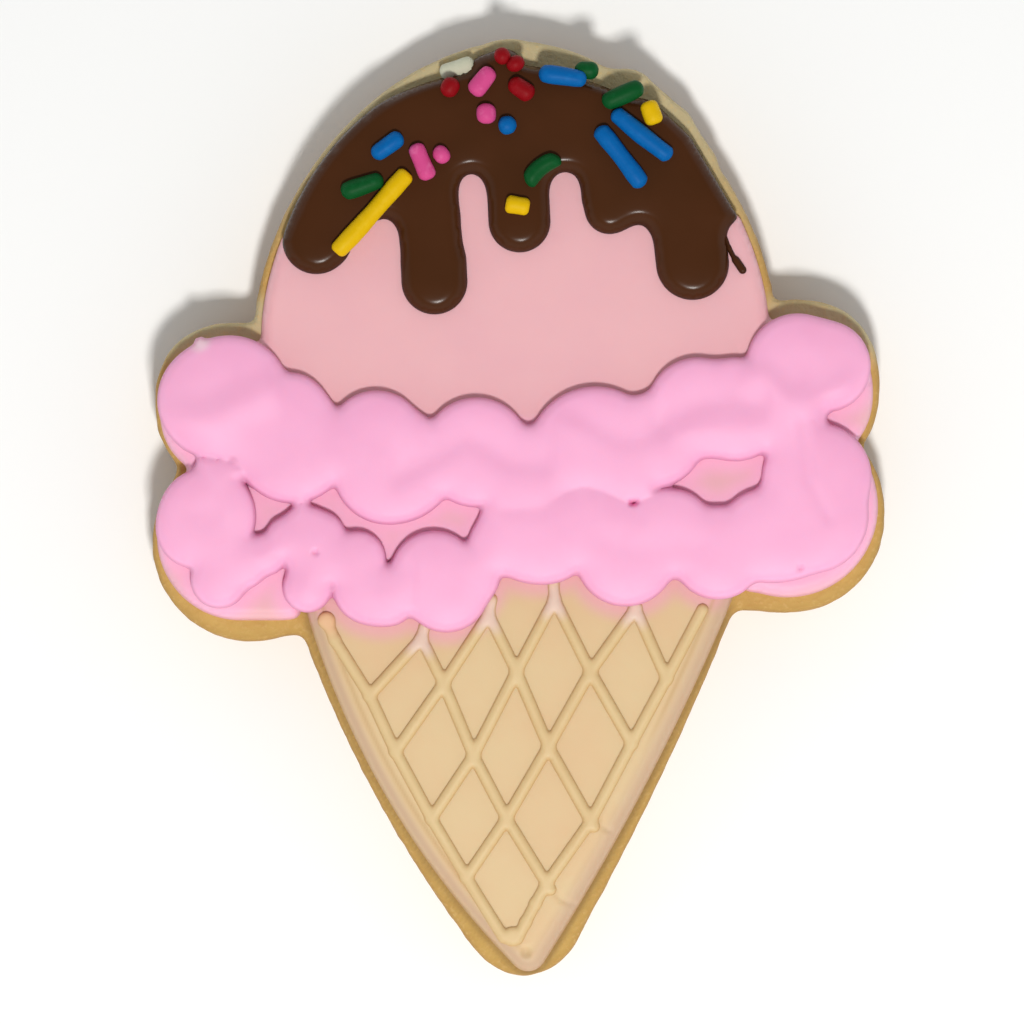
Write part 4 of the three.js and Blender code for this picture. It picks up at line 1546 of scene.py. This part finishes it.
@dataclass
class SugarStrands:
    """The sugar strands on the dark icing, one piece for each colour."""

    radius: float = 0.9
    end_radius: float = 0.5
    model_length: float = 4.0
    # How far a strand swells and snakes along its length.
    swell: float = 0.05
    snake: float = 0.05
    strands: dict[StrandColour, tuple[Strand, ...]] = field(
        default_factory=lambda: {
            StrandColour.RED: (
                Strand((-1.6, 45.0), 1.6, 20), Strand((-0.3, 44.3), 1.6, 120),
                Strand((-6.8, 41.9), 2.0, 60), Strand((0.3, 41.8), 2.8, -35),
            ),
            StrandColour.PINK: (
                Strand((-3.6, 42.5), 3.2, 50), Strand((-3.2, 39.3), 2.0, 90),
                Strand((-9.6, 34.5), 3.8, -68), Strand((-7.7, 35.2), 1.6, 40),
            ),
            StrandColour.BLUE: (
                Strand((4.4, 43.0), 4.8, -8), Strand((12.3, 37.2), 7.4, -38),
                Strand((10.2, 35.0), 7.4, -52), Strand((-1.1, 38.1), 1.8, 10),
                Strand((-13.1, 36.1), 3.6, 35),
            ),
            StrandColour.GREEN: (
                Strand((6.8, 43.7), 2.4, -6, 1.3), Strand((10.4, 41.2), 4.4, 25),
                Strand((-15.6, 32.1), 4.4, 20), Strand((2.2, 33.9), 4.2, 40, 0.57, 0.45),
            ),
            StrandColour.YELLOW: (
                Strand((13.3, 39.4), 2.4, -70), Strand((-14.6, 29.4), 10.8, 48),
                Strand((-0.1, 30.1), 2.4, -10),
            ),
            StrandColour.WHITE: (Strand((-6.1, 43.9), 3.6, 19, 2.55),),
        }
    )  # fmt: skip

    def model(self) -> Piece:
        """Models one strand: a disc drawn out into a rod along X, its two ends rounded.

        Returns:
            The strand that the others are copied from.
        """
        deselect_all()
        half, steps = self.model_length / 2, 8
        bpy.ops.mesh.primitive_circle_add(
            vertices=20, radius=self.radius * MM, fill_type="NGON",
            location=(-half * MM, 0, 0), rotation=(0, math.pi / 2, 0),
        )  # fmt: skip
        rod = bpy.context.object
        bpy.ops.object.transform_apply(location=True, rotation=True, scale=True)
        edit(rod, Select.FACES, everything=True)
        for _ in range(steps):
            step = (self.model_length * MM / steps, 0, 0)
            bpy.ops.mesh.extrude_region_move(TRANSFORM_OT_translate={"value": step})
        leave_edit()
        choose(rod, np.abs(np.abs(points_of(rod)[:, 0]) - half) < 0.01)
        edit(rod, Select.VERTICES)
        bpy.ops.mesh.bevel(offset=self.end_radius * MM, segments=5, profile=0.5)
        bpy.ops.mesh.select_all(action="SELECT")
        bpy.ops.mesh.remove_doubles(threshold=SAME_PLACE)
        face_outwards()
        return rod

    def lay(self, model: Piece, strand: Strand, rounded: float, draw: np.random.Generator) -> Piece:
        """Lays a copy of the modelled strand on the icing, a little uneven as pressed sugar is.

        Args:
            model: The modelled strand.
            strand: How this one lies.
            rounded: How far its ends are worn round.
            draw: The source of its unevenness.

        Returns:
            The copy.
        """
        copy = bpy.data.objects.new("strand", model.data.copy())
        bpy.context.scene.collection.objects.link(copy)
        points = points_of(copy)
        middle = self.model_length / 2 - self.end_radius
        stretch = (strand.length - self.model_length) / 2
        points[:, 0] += stretch * np.clip(points[:, 0] / middle, -1, 1)
        past = np.clip((np.abs(points[:, 0]) - strand.length / 2) / self.radius + 1, 0, 1)
        points[:, 1:] *= (1 - rounded * (1 - np.sqrt(1.06 - past**2)))[:, None]
        along = points[:, 0] / self.radius
        swell = 1 + self.swell * np.sin(along * draw.uniform(0.6, 1.4) + draw.uniform(0, 6))
        points[:, 1:] *= swell[:, None] * draw.uniform(0.97, 1.03)
        points[:, 1] += self.snake * np.sin(along * 0.5 + draw.uniform(0, 6))
        points[:, 1] -= strand.bow * (points[:, 0] / strand.length * 2) ** 2
        place_points(copy, points)
        height = DARK_TOP - strand.sunk + self.radius
        turn = Matrix.Rotation(math.radians(strand.degrees), 4, "Z")
        copy.data.transform(Matrix.Translation(Vector((*strand.at, height)) * MM) @ turn)
        return copy

    def make(self) -> list[Piece]:
        """Lays the strands and joins those of one colour.

        Returns:
            One piece a colour.
        """
        model, draw, made = self.model(), np.random.default_rng(5), []
        for colour, strands in self.strands.items():
            dye, worn, rounded = colour.value
            copies = [self.lay(model, strand, rounded, draw) for strand in strands]
            piece = copies[0]
            pick(piece)
            if len(copies) > 1:
                for copy in copies:
                    copy.select_set(True)
                bpy.ops.object.join()
            shade = colour.name.lower()
            piece.name = piece.data.name = f"{shade}_strands"
            smooth(piece, 50)
            coat = SugarStrandCoat(f"{shade}_sugar", roughness=0.5, ior=1.2, dye=dye, worn=worn)
            made.append(Role(piece.name, "chocolate_drip", None, coat).settle(piece))
        bpy.data.objects.remove(model)
        return made


# -------------------- studio


@dataclass(frozen=True)
class SoftBox:
    """A square soft light: where it hangs, its side, its power in watts and its colour."""

    name: str
    at: Triple
    size: float
    power: float
    colour: Triple = (1.0, 1.0, 1.0)

    def hang(self) -> None:
        """Hangs the light so that it shines at the middle of the cookie."""
        lamp = bpy.data.lights.new(self.name, "AREA")
        lamp.size, lamp.energy, lamp.color = self.size * MM, self.power, self.colour
        holder = bpy.data.objects.new(self.name, lamp)
        bpy.context.scene.collection.objects.link(holder)
        holder.location = Vector(self.at) * MM
        holder.rotation_euler = (-holder.location).to_track_quat("-Z", "Y").to_euler()


@dataclass
class Studio:
    """A pale floor, soft light from the cone's side and a camera that looks straight down."""

    frame_width: float = 102.4
    middle: Point = (-0.65, -0.45)
    lens: float = 250.0
    floor_colour: int = 0xFBFBFA
    # The room is dim overhead, so that glossy icing shows its own colour from above.
    room_overhead: float = 0.2
    room_around: float = 0.94
    room_colour: tuple[float, float, float, float] = (0.95, 0.98, 1.0, 1.0)
    lights: tuple[SoftBox, ...] = (SoftBox("key", (27, -195, 460), 60, 1.76, (1.0, 0.98, 0.95)),)

    def lay_floor(self) -> None:
        """Lays the sheet of matt white paper that the cookie lies on."""
        deselect_all()
        bpy.ops.mesh.primitive_plane_add(size=3.0, location=(0, 0, -0.02 * MM))
        floor = bpy.context.object
        floor.name = "floor"
        paper = bpy.data.materials.new("matt_white_paper")
        paper.use_nodes = True
        shader = paper.node_tree.nodes["Principled BSDF"]
        shader.inputs["Base Color"].default_value = linear(self.floor_colour)
        shader.inputs["Roughness"].default_value = 0.9
        floor.data.materials.append(paper)

    def light_room(self) -> None:
        """Lights the room round the floor."""
        world = bpy.data.worlds.new("soft_room")
        world.use_nodes = True
        tree = world.node_tree
        tree.nodes.clear()
        towards = add_node(tree, "ShaderNodeTexCoord", {}, {}).outputs["Generated"]
        up = add_node(tree, "ShaderNodeSeparateXYZ", {}, {"Vector": towards}).outputs["Z"]
        span = {"Value": up, "From Min": 0.3, "From Max": 0.85}
        span |= {"To Min": self.room_around, "To Max": self.room_overhead}
        strength = add_node(tree, "ShaderNodeMapRange", {"interpolation_type": "SMOOTHSTEP"}, span).outputs[0]
        light = {"Color": self.room_colour, "Strength": strength}
        sky = add_node(tree, "ShaderNodeBackground", {}, light)
        add_node(tree, "ShaderNodeOutputWorld", {}, {"Surface": sky.outputs[0]})
        bpy.context.scene.world = world
        bpy.context.scene.view_settings.view_transform = "Standard"

    def set_camera(self) -> None:
        """Sets the camera at the distance from which it sees the frame's width."""
        lens = bpy.data.cameras.new("camera")
        lens.lens = self.lens
        lens.clip_start, lens.clip_end = 0.01, 10
        camera = bpy.data.objects.new("camera", lens)
        bpy.context.scene.collection.objects.link(camera)
        away = self.frame_width * self.lens / lens.sensor_width
        camera.location = Vector((*self.middle, ICING_TOP + away)) * MM
        bpy.context.scene.camera = camera

    def build(self) -> None:
        """Sets the floor, the lights and the camera."""
        self.lay_floor()
        for light in self.lights:
            light.hang()
        self.light_room()
        self.set_camera()


def main() -> None:
    """Builds the studio and the cookie."""
    logging.basicConfig(level=logging.INFO, format="%(name)s: %(message)s")
    Studio().build()
    ruffle, edge = Ruffle(), PouredEdge()
    cone, net = ConeFlood(ruffle=ruffle), WaffleNet(ruffle=ruffle)
    biscuit = Biscuit(icing=cone.outline())
    scoop = ScoopFlood(biscuit=biscuit, edge=edge, cone=cone)
    drip, thread = DarkDrip(flood=scoop, edge=edge), DarkThread(flood=scoop)
    for part in (biscuit, scoop, cone, net, drip, thread, SugarStrands(), ruffle):
        made = part.make()
        LOG.info("%s made as %s", type(part).__name__, ", ".join(piece.name for piece in made))


if __name__ == "__main__":
    main()
